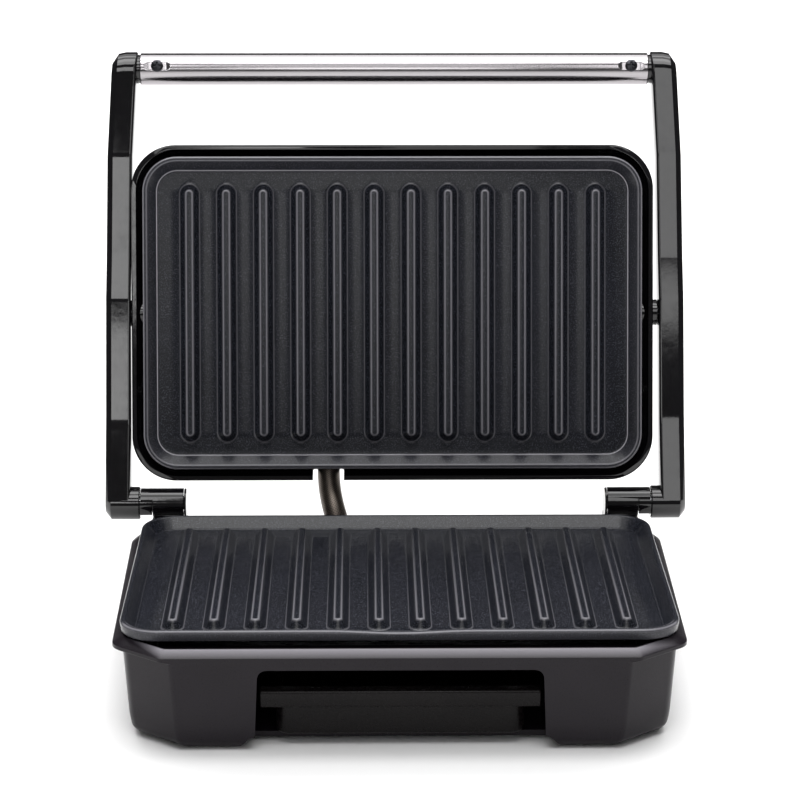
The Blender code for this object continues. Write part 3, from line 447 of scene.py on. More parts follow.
def softened(
    points: np.ndarray, reach: np.ndarray | float, steps: int, closed: bool = False
) -> np.ndarray:
    """Polyline with each corner replaced by a quadratic Bezier curve that it controls.

    Args:
        points: corners, (n, k).
        reach: how far from the corner its curve starts, one value or one per corner.
        steps: points of each curve.
        closed: whether the last corner joins the first.

    Returns:
        Points as an array with k columns.
    """
    points = np.asarray(points, float)
    before = np.roll(points, 1, 0) - points
    after = np.roll(points, -1, 0) - points
    long_before = np.linalg.norm(before, axis=1)
    long_after = np.linalg.norm(after, axis=1)
    longest = 0.48 * np.minimum(long_before, long_after)
    cut = np.minimum(np.broadcast_to(reach, len(points)), longest)
    if not closed:
        cut = cut * (np.arange(len(points)) % (len(points) - 1) != 0)
    start = points + before / long_before[:, None] * cut[:, None]
    end = points + after / long_after[:, None] * cut[:, None]
    t = np.linspace(0.0, 1.0, steps)[None, :, None]
    curve = start[:, None] * (1 - t) ** 2 + points[:, None] * 2 * t * (1 - t)
    curve = curve + end[:, None] * t**2
    flat = curve.reshape(-1, points.shape[1])
    keep = np.r_[True, np.linalg.norm(np.diff(flat, axis=0), axis=1) > 1e-9]
    return flat[keep]


def offset_inwards(outline: np.ndarray, distance: float) -> np.ndarray:
    """Counterclockwise outline moved inwards along its own normals, mitred at corners.

    Args:
        outline: points, (n, 2).
        distance: how far in.

    Returns:
        The moved points.
    """
    edge = np.roll(outline, -1, 0) - outline
    edge /= np.linalg.norm(edge, axis=1)[:, None]
    normal = np.stack([-edge[:, 1], edge[:, 0]], 1)
    joint = normal + np.roll(normal, 1, 0)
    joint /= np.maximum((joint**2).sum(1), 0.5)[:, None] / 2
    return outline + joint * distance


def bell(offset: np.ndarray, width: float) -> np.ndarray:
    """One where the offset is zero, falling off smoothly over about the width."""
    return np.exp(-((offset / width) ** 2))


def eased(share: np.ndarray) -> np.ndarray:
    """Smooth step from zero to one as the share goes from zero to one."""
    share = np.clip(share, 0.0, 1.0)
    return share * share * (3 - 2 * share)


def circle(count: int) -> np.ndarray:
    """Angles of evenly spaced points round a circle, in radians."""
    return np.linspace(0.0, FULL_TURN, count, endpoint=False)


def lifted(outline: np.ndarray, height: float | np.ndarray) -> np.ndarray:
    """Outline in X and Y at a height, as (n, 3)."""
    return np.column_stack([outline, np.broadcast_to(height, len(outline))])


def turned_x(points: np.ndarray, angle: float) -> np.ndarray:
    """Points turned about the X axis by an angle in radians."""
    c, s = math.cos(angle), math.sin(angle)
    return points @ np.array([[1, 0, 0], [0, c, s], [0, -s, c]], float)


def revolved(profile: np.ndarray, sides: int) -> np.ndarray:
    """Surface of revolution about Z: each (radius, height) pair swept round a circle.

    Args:
        profile: radius and height pairs, (n, 2).
        sides: points round each circle.

    Returns:
        Grid of points, (n, sides, 3).
    """
    angle = circle(sides)[None, :]
    radius = profile[:, :1]
    height = np.broadcast_to(profile[:, 1:], (len(profile), sides))
    return np.stack([radius * np.cos(angle), radius * np.sin(angle), height], -1)


class Skin:
    """Grids and caps gathered into one closed mesh."""

    def __init__(self) -> None:
        """Starts with nothing in it."""
        self.points: list[np.ndarray] = []
        self.painted_light: list[np.ndarray] = []
        self.faces: list[list[int]] = []
        self.count = 0

    def grid(
        self,
        points: np.ndarray,
        wrap_rows: bool = False,
        wrap_columns: bool = False,
        painted_light: np.ndarray | None = None,
    ) -> "Skin":
        """Adds quads between neighbours of a point grid.

        Args:
            points: grid, (rows, columns, 3).
            wrap_rows: whether the last row joins the first.
            wrap_columns: whether the last column joins the first.
            painted_light: share of the finish's painted light colour, from 0 to 1 at each point.

        Returns:
            The skin itself.
        """
        rows, columns = points.shape[:2]
        index = self.count + np.arange(rows * columns).reshape(rows, columns)
        if wrap_columns:
            index = np.hstack([index, index[:, :1]])
        if wrap_rows:
            index = np.vstack([index, index[:1]])
        corners = (index[:-1, :-1], index[:-1, 1:], index[1:, 1:], index[1:, :-1])
        self.faces += np.stack(corners, -1).reshape(-1, 4).tolist()
        self.points.append(points.reshape(-1, 3))
        self.painted_light.append(np.zeros(rows * columns) if painted_light is None else painted_light.reshape(-1))
        self.count += rows * columns
        return self

    def cap(self, ring: np.ndarray) -> "Skin":
        """Adds one flat face inside a ring of points, (n, 3)."""
        self.faces.append(list(range(self.count, self.count + len(ring))))
        self.points.append(ring)
        self.painted_light.append(np.zeros(len(ring)))
        self.count += len(ring)
        return self

    def solid(self, rings: np.ndarray, painted_light: np.ndarray | None = None) -> "Skin":
        """Adds closed rings, (rows, columns, 3), with a cap on the first and the last."""
        return self.grid(rings, wrap_columns=True, painted_light=painted_light).cap(rings[0]).cap(rings[-1])

    def placed(self, place: Place) -> "Skin":
        """Moves every point so far from a frame to the world."""
        self.points = [place(points) for points in self.points]
        return self

    def piece(self, name: str, slot: Slot, sharp: float = 40.0) -> bpy.types.Object:
        """Joins everything into one object with outward faces.

        Args:
            name: the object's name.
            slot: material slot that the piece fills.
            sharp: edges sharper than this many degrees stay crisp.

        Returns:
            The object, at the origin.
        """
        mesh = bpy.data.meshes.new(name)
        mesh.from_pydata(np.concatenate(self.points).tolist(), [], self.faces)
        # Share of painted light at each point, read by the material.
        painted_light = mesh.attributes.new("painted_light", "FLOAT", "POINT")
        painted_light.data.foreach_set("value", np.concatenate(self.painted_light).astype(np.float32))
        with edited(mesh) as work:
            bmesh.ops.remove_doubles(work, verts=work.verts, dist=MERGE)
            bmesh.ops.recalc_face_normals(work, faces=work.faces)
            if work.calc_volume(signed=True) < 0:
                bmesh.ops.reverse_faces(work, faces=work.faces)
        return finished(name, mesh, slot, sharp)


@contextmanager
def edited(mesh: bpy.types.Mesh) -> Iterator[bmesh.types.BMesh]:
    """Opens a mesh for editing and writes it back afterwards.

    Args:
        mesh: mesh to change.

    Yields:
        The editable mesh.
    """
    work = bmesh.new()
    work.from_mesh(mesh)
    yield work
    work.to_mesh(mesh)
    work.free()


def simplify(mesh: bpy.types.Mesh, within: float, degrees: float) -> None:
    """Merges doubles and joins faces that lie in one plane.

    Args:
        mesh: mesh to change.
        within: distance under which points are one.
        degrees: angle under which faces are one.
    """
    limit = math.radians(degrees)
    with edited(mesh) as work:
        bmesh.ops.remove_doubles(work, verts=work.verts, dist=within)
        bmesh.ops.dissolve_limit(work, angle_limit=limit, verts=work.verts, edges=work.edges)


def shade(mesh: bpy.types.Mesh, material: bpy.types.Material, sharp: float) -> None:
    """Smooths a mesh but for its sharp edges and gives it one material.

    Args:
        mesh: mesh to change.
        material: its material.
        sharp: edges sharper than this many degrees stay crisp.
    """
    mesh.polygons.foreach_set("use_smooth", np.ones(len(mesh.polygons), bool))
    mesh.set_sharp_from_angle(angle=math.radians(sharp))
    mesh.materials.clear()
    mesh.materials.append(material)


def finished(name: str, mesh: bpy.types.Mesh, slot: Slot, sharp: float) -> bpy.types.Object:
    """Object around a mesh, smooth but for its sharp edges, with its material.

    Args:
        name: the object's name.
        mesh: its mesh.
        slot: material slot that it fills.
        sharp: edges sharper than this many degrees stay crisp.

    Returns:
        The object.
    """
    shade(mesh, slot.material(), sharp)
    made = bpy.data.objects.new(name, mesh)
    bpy.context.scene.collection.objects.link(made)
    return made


def bevel_edges(piece: bpy.types.Object, width: float) -> None:
    """Adds a rounded bevel to a piece's sharp edges.

    Args:
        piece: the object.
        width: width of the bevel in metres.
    """
    bevel = piece.modifiers.new("edge_rounding", "BEVEL")
    bevel.width = width
    bevel.segments = 2
    bevel.limit_method = "ANGLE"
    bevel.angle_limit = math.radians(40.0)
    bevel.use_clamp_overlap = True
    bevel.harden_normals = False


def carve(
    piece: bpy.types.Object, cutters: list[bpy.types.Object], sharp: float = 40.0
) -> None:
    """Takes the cutters out of a piece, for good.

    Args:
        piece: the object that is cut.
        cutters: closed objects, which are removed afterwards.
        sharp: edges sharper than this many degrees stay crisp.
    """
    for cutter in cutters:
        tool = piece.modifiers.new("carve", "BOOLEAN")
        tool.operation = "DIFFERENCE"
        tool.solver = "EXACT"
        tool.object = cutter
    bpy.context.view_layer.update()
    graph = bpy.context.evaluated_depsgraph_get()
    mesh = bpy.data.meshes.new_from_object(piece.evaluated_get(graph))
    piece.modifiers.clear()
    piece.data = mesh
    simplify(mesh, MERGE, 0.3)
    shade(mesh, mesh.materials[0], sharp)
    for cutter in cutters:
        bpy.data.objects.remove(cutter)


def settle(piece: bpy.types.Object, body: Body, node: str) -> None:
    """Lets a piece ride on its body in place of a CAD node, and reports it.

    Args:
        piece: the object.
        body: body that it moves with.
        node: CAD node that it stands for.
    """
    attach(piece, body.value)
    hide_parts(node)
    LOG.info("%s rides on %s and stands for %s", piece.name, body.value, node)


def middle(node: str) -> np.ndarray:
    """Middle of a CAD node's box."""
    low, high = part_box(node)
    return (np.array(low) + np.array(high)) / 2


@dataclass(frozen=True)
class HingedFrame:
    """Frame of a part drawn with the lid closed, turned about X to the open rest place."""

    origin: tuple[float, float, float]
    degrees: float

    def place(self, points: np.ndarray) -> np.ndarray:
        """Points of any grid shape, from this frame to the world."""
        return turned_x(points, math.radians(self.degrees)) + np.array(self.origin)


# Degrees that the lid swings through, and that the upper plate leans back at rest.
LID_SWING = 101.4
TIP_BACK = 3.0
# Height of the upper plate's rim in the platen's frame.
UPPER_RIM = -0.0150


def lid_frame() -> HingedFrame:
    """Frame on the hinge axis, which the arms and handle are drawn in."""
    spot = middle("hinge_pin_left")
    return HingedFrame((0.0, spot[1], spot[2]), -LID_SWING)


def platen_frame() -> HingedFrame:
    """Frame on the rocking axis, which the upper plate and housing are drawn in."""
    spot = middle("pivot_pin_left")
    return HingedFrame((middle("upper_grill_plate")[0], spot[1], spot[2]), -LID_SWING - TIP_BACK)


def plan_to_world(points: np.ndarray) -> np.ndarray:
    """Points of the base's plan, whose zero is the lower plate's middle, to the world."""
    return points + np.array([0.0, float(middle("lower_grill_plate")[1]), 0.0])


def lower_place(points: np.ndarray) -> np.ndarray:
    """Points of the lower plate's own frame, moved to the world."""
    base = middle("lower_grill_plate")
    rim = float(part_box("lower_grill_plate")[1].z)
    return points + np.array([base[0], base[1], rim])


def upper_place(points: np.ndarray) -> np.ndarray:
    """Points of the upper plate's own frame, turned face down and moved to the world."""
    return platen_frame().place(points * [1, -1, -1] + np.array([0.0, 0.0, UPPER_RIM]))


# Sub-assemblies


@dataclass
class GrillPlate:
    """Die-cast pan with twelve ribs, drawn face up with its rim at zero.

    The rib section is a crest, a straight flank and a rounded root. Painted highlight
    lines run along the crest edges, rib roots, rim and rim bead; quiet is the share of
    them that is left away from the front, skirt the painted light that lifts the outer
    side wall, and drain the middle of the fat's drain hole, if there is one.
    """

    half_x: float = 0.115
    half_y: float = 0.072
    corner: float = 0.016
    floor: float = -0.0050
    grid_inset: float = 0.0115
    rib_count: int = 12
    rib_span: float = 0.187
    rib_half_length: float = 0.0595
    rib_half_width: float = 0.0046
    rib_top: float = -0.0008
    crest_half: float = 0.00125
    wall_root: float = 0.00675
    dip_depth: float = 0.0
    dip_half: float = 0.030
    corner_steps: int = 14
    # Strength of the painted highlight lines along the rib crests' edges and at the rib roots.
    crest_highlight: float = 0.55
    root_highlight: float = 0.22
    quiet: float = 1.0
    skirt: float = 0.0
    drain: tuple[float, float] | None = None
    drain_radius: float = 0.0022

    def lines(self) -> tuple[np.ndarray, np.ndarray]:
        """Grid lines across X and Y, packed close where the ribs curve.

        Returns:
            Line places in metres, from edge to edge.
        """
        across = np.array([0.0, 0.5, 0.9, 1.2, 1.5, 1.9, 2.4, 2.9, 3.4, 3.8, 4.2, 4.6, 5.0]) * MM
        across = np.concatenate([-across[:0:-1], across])
        centres = np.linspace(-self.rib_span / 2, self.rib_span / 2, self.rib_count)
        edge_x = self.half_x - self.grid_inset
        edge_y = self.half_y - self.grid_inset
        xs = np.r_[-edge_x, (centres[:, None] + across[None]).reshape(-1), edge_x]
        ends = self.rib_half_length - np.arange(0.0, 6.01, 0.4) * MM
        inner = np.linspace(0.0, ends[-1] - 0.004, 7)[1:]
        half = np.r_[inner, ends[::-1], edge_y]
        return xs, np.r_[-half[::-1], 0.0, half]

    def rib_height(self, x: np.ndarray, y: np.ndarray) -> tuple[np.ndarray, np.ndarray]:
        """Height over the floor, read off the distance to the nearest rib's middle line.

        Args:
            x: places across.
            y: places along the ribs.

        Returns:
            Heights, and the painted highlight along the crest's edges and roots.
        """
        tall = self.rib_top - self.floor
        corners = np.array(
            [[0, tall], [self.crest_half, tall], [self.rib_half_width, 0.0], [0.02, 0.0]]
        )
        section = softened(corners, np.array([0, 0.75, 0.9, 0]) * MM, 9)
        pitch = self.rib_span / (self.rib_count - 1)
        nearest = np.clip(np.round((x + self.rib_span / 2) / pitch), 0, self.rib_count - 1)
        aside = np.abs(x - (nearest * pitch - self.rib_span / 2))
        beyond = np.maximum(np.abs(y) - (self.rib_half_length - self.rib_half_width), 0.0)
        distance = np.hypot(aside, beyond)
        # Painted highlight lines along each crest's edges and at its root, quieted away from the
        # rib's front end.
        painted_light = self.crest_highlight * bell(distance - self.crest_half - 0.0002, 0.00035)
        painted_light += self.root_highlight * bell(distance - self.rib_half_width, 0.00025)
        painted_light *= self.hushed((-y - self.rib_half_length + 0.0075) / 0.002)
        return np.interp(distance, section[:, 0], section[:, 1]), painted_light

    def hushed(self, nearness: np.ndarray) -> np.ndarray:
        """Share of the painted highlight that stays: all of it where nearness is one, quiet at
        zero.
        """
        return self.quiet + (1.0 - self.quiet) * np.clip(nearness, 0.0, 1.0)

    def surface(self) -> Skin:
        """The whole pan: rib grid, floor border, rim, skirt and underside.

        Returns:
            The skin in the plate's own frame.
        """
        xs, ys = self.lines()
        grid_x, grid_y = np.meshgrid(xs, ys)
        height, crest = self.rib_height(grid_x, grid_y)
        skin = Skin().grid(np.stack([grid_x, grid_y, self.floor + height], -1), painted_light=crest)
        inset_drop = np.array(
            [
                [11.5, 5.0], [9.0, 5.0], [6.75, 5.0], [6.40, 4.50], [6.05, 4.62],
                [2.1, 0.0], [0.8, 0.0], [0.0, 0.8], [0.5, 4.6], [3.4, 4.6], [7.0, 7.5], [20.0, 7.5],
            ]
        ) * MM
        reach = np.array([0, 0.3, 0.25, 0.14, 0.5, 0.6, 0.5, 0.5, 0.4, 0.4, 0.6, 0]) * MM
        section = softened(inset_drop, reach, 6)
        unit_x = xs / xs[-1]
        unit_y = ys / ys[-1]
        rings = []
        for inset, drop in section:
            tight = self.corner - inset
            if inset > self.wall_root and drop <= 0.00501:
                tight = (self.corner - self.wall_root) * (self.grid_inset - inset)
                tight /= self.grid_inset - self.wall_root
            half = (self.half_x - inset, self.half_y - inset)
            ring = rounded_rect(*half, max(tight, 0.0), unit_x, unit_y, self.corner_steps)
            rings.append(lifted(ring, -drop))
        rings = np.array(rings)
        front = np.clip(1.0 - (rings[..., 1] + self.half_y) / 0.0055, 0.0, 1.0)
        across = np.clip(np.abs(rings[..., 0]) / self.dip_half, 0.0, 1.0)
        upper = np.clip(1.0 + rings[..., 2] / 0.0040, 0.0, 1.0)
        wave = np.cos(across * math.pi) + 1
        rings[..., 2] -= self.dip_depth * np.sqrt(front) * upper * wave / 2
        inset, drop = section[:, 0] / MM, section[:, 1] / MM
        # Painted highlight lines on the rim bead and the rim's top edges, quieted away from the
        # front, and painted light that lifts the outer side wall.
        bead = bell(inset - 6.35, 0.22) * (drop < 5.01)
        lip = bell(inset - 2.0, 0.35) * 0.35 + bell(inset - 0.5, 0.35) * 0.5
        near = self.hushed(1.0 - (rings[..., 1] + self.half_y - 0.008) / 0.004)
        painted_light = (bead + lip * (drop < 1.2))[:, None] * near
        painted_light = painted_light + self.skirt * ((drop > 1.0) & (inset < 1.0))[:, None]
        skin.grid(rings, wrap_columns=True, painted_light=painted_light)
        return skin.cap(rings[-1])

    def build(self, name: str, place: Place, body: Body) -> None:
        """Makes the plate in place of its CAD node.

        Args:
            name: CAD node and piece stem.
            place: function from the plate's frame to the world.
            body: body that it rides on.
        """
        skin = self.surface().placed(place)
        plate = skin.piece(name + "_casting", Slot.PLATE_COAT, 60.0)
        if self.drain:
            profile = np.array([[self.drain_radius, -0.012], [self.drain_radius, 0.002]])
            bore = revolved(profile, 32) + np.array([*self.drain, 0.0])
            cutter = Skin().solid(bore).placed(place)
            carve(plate, [cutter.piece("drain_cutter", Slot.PLATE_COAT)], 60.0)
        settle(plate, body, name)


@dataclass
class LidHousing:
    """Domed shell over the upper plate, open towards it, with the conduit's notch behind."""

    half_x: float = 0.1205
    half_y: float = 0.0775
    corner: float = 0.0205
    edge: float = -0.0104
    wall: float = 0.0022
    notch_x: float = -0.0299
    notch_half: float = 0.00715
    notch_top: float = 0.0020

    def shell(self, inward: float) -> np.ndarray:
        """Rings of the dome from its edge to its crown.

        Args:
            inward: distance inside the outer form.

        Returns:
            Grid of points, (rings, points, 3).
        """
        section = np.array(
            [
                [0.6, 0], [0, 0.8], [0, 4.5], [2.2, 7.5], [5.6, 20],
                [10, 25.5], [15, 29.7], [23, 31.5], [50, 31.5],
            ]
        ) * MM
        reach = np.array([0, 0.5, 0.9, 1.2, 4.0, 2.5, 2.5, 5.0, 0]) * MM
        if inward:
            section = section + np.array([inward, -inward])
            section[0] = [inward, 0.0]
            section[1] = [inward, 0.0010]
            section[:3, 1] += np.array([0.0, 0.0, 0.0006])
        section = softened(section, reach, 7)
        along = np.linspace(-1.0, 1.0, 9)
        rings = []
        for inset, height in section:
            half = (self.half_x - inset, self.half_y - inset)
            ring = rounded_rect(*half, max(self.corner - inset * 0.5, 0.006), along, along, 16)
            rings.append(lifted(ring, self.edge + height))
        return np.array(rings)

    def build(self) -> None:
        """Makes the housing with its notch."""
        outer = self.shell(0.0)
        inner = self.shell(self.wall)
        skin = Skin().grid(outer, wrap_columns=True).grid(inner, wrap_columns=True)
        skin.grid(np.array([outer[0], inner[0]]), wrap_columns=True)
        skin.cap(outer[-1]).cap(inner[-1]).placed(platen_frame().place)
        housing = skin.piece("lid_housing_shell", Slot.GLOSS_BLACK, 50.0)
        carve(housing, [self.notch_cutter()], 50.0)
        settle(housing, Body.PLATEN, "lid_housing")

    def notch_cutter(self) -> bpy.types.Object:
        """Round-topped prism through the rear wall.

        Returns:
            The cutter.
        """
        angle = np.radians(np.linspace(0.0, 180.0, 17))
        half, below = self.notch_half, self.edge - 0.003
        across = np.r_[half, half * np.cos(angle), -half] + self.notch_x
        height = np.r_[below, self.notch_top + half * np.sin(angle), below]
        near = np.stack([across, np.full(len(across), self.half_y - 0.012), height], 1)
        far = near + np.array([0.0, 0.017, 0.0])
        skin = Skin().solid(np.array([near, far])).placed(platen_frame().place)
        return skin.piece("notch_cutter", Slot.GLOSS_BLACK)


@dataclass
class LidArms:
    """Pair of faceted arms with their feet, collars and stop tabs.

    Places along an arm are shares of its reach. Above lean_from, its last crease, the
    head leans inwards by lean. The stop tab runs in the barrel's notch: its angles
    are those of the open lid, and root and length run inwards from the arm.
    """

    inner: float = 0.1222
    thickness: float = 0.0116
    reach: float = 0.2030
    foot_radius: float = 0.0076
    foot_inner: float = 0.1179
    crease: float = 0.0016
    inner_round: float = 0.0010
    outer_from: float = 0.0060
    outer_shoulder: float = 0.0013
    outer_chamfer: float = 0.0026
    top_drop: float = 0.0050
    lean: float = 0.0022
    lean_from: float = 0.7955
    handle_offset: float = 0.0015
    collar_radius: float = 0.0067
    collar_inner: float = 0.1183
    tab_degrees: tuple[float, float] = (153.0, 218.0)
    tab_radii: tuple[float, float] = (0.0047, 0.0067)
    tab_root: float = 0.0046
    tab_length: float = 0.0053
    along: np.ndarray = field(
        default_factory=lambda: np.array([-0.087, 0.015]) / math.hypot(0.087, 0.015)
    )

    def outline(self) -> tuple[np.ndarray, np.ndarray]:
        """Side outline as (along, down) pairs: underside, top, back and round foot.

        Returns:
            Corners, and how far each one is softened.
        """
        r = self.reach
        foot_end, waist, last = r * 0.182, r * 0.5635, r * self.lean_from
        front = [
            [foot_end, 0.0052], [r * 0.463, 0.0086], [waist, 0.0064],
            [last, 0.0054], [r - 0.0005, 0.0098],
        ]
        top = [
            [r + 0.0055, 0.0082], [r + 0.0080, 0.0040],
            [r + 0.0080, -0.0035], [r + 0.0050, -0.0072],
        ]
        back = [
            [r - 0.0060, -0.0080], [last, -0.0095], [waist, -0.0108],
            [r * 0.4350, -0.0114], [r * 0.2900, -0.0104], [foot_end, -0.0090],
        ]
        angle = np.radians(np.linspace(270.0, 90.0, 19))
        foot = np.stack([np.cos(angle), np.sin(angle)], 1) * self.foot_radius
        corners = np.concatenate([front, top, back, foot])
        front_reach = [0.004] + [self.crease] * 3 + [0.003]
        reach = np.r_[front_reach, [0.003] * 4, [0.004] * 6, [0.0008] * 19]
        return corners, reach

    def ring(self, x: float, narrow: float, drop: float) -> np.ndarray:
        """Outline at one place across the arm, in the closed lid's frame.

        Args:
            x: place across.
            narrow: how far the outline is pulled in.
            drop: how far the top end is lowered.

        Returns:
            Points, (n, 3).
        """
        corners, reach = self.outline()
        smooth = softened(corners, reach, 6, True)[::-1]
        near_foot = np.clip((0.016 - smooth[:, 0]) / 0.012, 0.0, 1.0)
        outline = offset_inwards(smooth, narrow * (1.0 + near_foot)[:, None])
        near_top = np.clip((outline[:, 0] - self.reach + 0.030) / 0.038, 0.0, 1.0)
        along = outline[:, 0] - drop * near_top**2
        y = self.along[0] * along - self.along[1] * outline[:, 1]
        z = self.along[1] * along + self.along[0] * outline[:, 1]
        return np.stack([np.full(len(y), x), y, z], 1)

    def arm(self, sign: int) -> Skin:
        """One arm's skin in the closed lid's frame.

        Args:
            sign: -1 for the left arm and 1 for the right.

        Returns:
            The skin.
        """
        turn = np.radians(np.linspace(0.0, 90.0, 5))
        inner = self.inner_round * (1 - np.stack([np.cos(turn), np.sin(turn)], 1))
        inner = np.vstack([inner, [self.inner_round + 0.0004, 0.0]])
        w, c = self.thickness, self.outer_chamfer
        corners = np.array(
            [
                [w - self.outer_from, 0.0, 0.0],
                [w - c - self.outer_shoulder, 0.0, 0.09],
                [w - c, 0.0, 0.15],
                [w, c * 0.62, 0.75],
                [w, c * 0.62 + 0.0006, 0.78],
            ]
        )
        outer = softened(corners, np.array([0.0, 0.0, 0.0009, 0.0008, 0.0]), 5)
        steps = [*np.column_stack([inner, np.zeros(len(inner))]), *outer]
        rings = [
            self.ring(sign * (self.inner + x), narrow, self.top_drop * share)
            for x, narrow, share in steps
        ]
        return Skin().solid(np.array(rings))

    def round_part(self, section: np.ndarray, sign: int, y: float, z: float) -> np.ndarray:
        """Turned form along X from (radius, distance from the middle plane) pairs.

        Args:
            section: radius and distance pairs.
            sign: side of the press.
            y: axis place in the closed lid's frame.
            z: axis height in the closed lid's frame.

        Returns:
            Grid of points.
        """
        grid = revolved(section, 48)
        return np.stack([sign * grid[..., 2], grid[..., 0] + y, grid[..., 1] + z], -1)

    def handle_axis(self) -> tuple[float, float]:
        """Place of the handle's axis, as Y and Z in the closed lid's frame."""
        y = self.along[0] * self.reach - self.along[1] * self.handle_offset
        z = self.along[1] * self.reach + self.along[0] * self.handle_offset
        return y, z

    def build(self) -> None:
        """Makes both arms with their feet and collars."""
        foot_radius, collar_radius = self.foot_radius, self.collar_radius
        foot = np.array(
            [
                [0.0033, self.foot_inner],
                [foot_radius - 0.0005, self.foot_inner],
                [foot_radius, self.foot_inner + 0.0005],
                [foot_radius, self.inner + 0.004],
            ]
        )
        collar = np.array(
            [
                [0.0055, self.collar_inner],
                [collar_radius - 0.0003, self.collar_inner],
                [collar_radius, self.collar_inner + 0.0003],
                [collar_radius, self.inner + 0.003],
            ]
        )
        for side, sign in (("left", -1), ("right", 1)):
            skin = self.arm(sign)
            skin.solid(self.round_part(foot, sign, 0.0, 0.0))
            skin.solid(self.round_part(collar, sign, *self.handle_axis()))
            self.add_tab(skin, sign)
            skin.placed(lid_frame().place)
            arm = skin.piece("lid_arm_" + side, Slot.GLOSS_BLACK, 38.0)
            self.lean_in(arm, sign)
            settle(arm, Body.ARMS, "arm_" + side)

    def lean_in(self, arm: bpy.types.Object, sign: int) -> None:
        """Leans an arm's head inwards, cut at the crease first so that flat sides stay flat.

        Args:
            arm: the arm, in world place.
            sign: side of the press.
        """
        ends = np.array([[0.0, 0.0, 0.0], [0.0, *(self.along * self.reach)]])
        foot, head = (Vector(point) for point in lid_frame().place(ends))
        up = (head - foot).normalized()
        crease = foot + up * (self.reach * self.lean_from)
        with edited(arm.data) as work:
            everything = [*work.verts, *work.edges, *work.faces]
            bmesh.ops.bisect_plane(work, geom=everything, plane_co=crease, plane_no=up)
            for vert in work.verts:
                above = max((vert.co - crease).dot(up), 0.0)
                if abs(vert.co.x) > self.inner - 0.0002:
                    share = above / (self.reach * (1.0 - self.lean_from))
                    vert.co.x -= sign * self.lean * share

    def add_tab(self, skin: Skin, sign: int) -> None:
        """Adds the stop tab, a ring sector beside the foot.

        Args:
            skin: skin that gets it.
            sign: side of the press.
        """
        angle = np.radians(np.linspace(*self.tab_degrees, 14) + LID_SWING)
        near, far = self.inner - self.tab_root - self.tab_length, self.foot_inner + 0.0010
        low, high = self.tab_radii
        corners = np.array([[low, near], [high, near], [high, far], [low, far]])
        radius, x = corners[:, :1], np.broadcast_to(sign * corners[:, 1:], (4, len(angle)))
        grid = np.stack([x, radius * np.cos(angle), radius * np.sin(angle)], -1)
        skin.grid(grid, wrap_rows=True).cap(grid[:, 0]).cap(grid[:, -1])


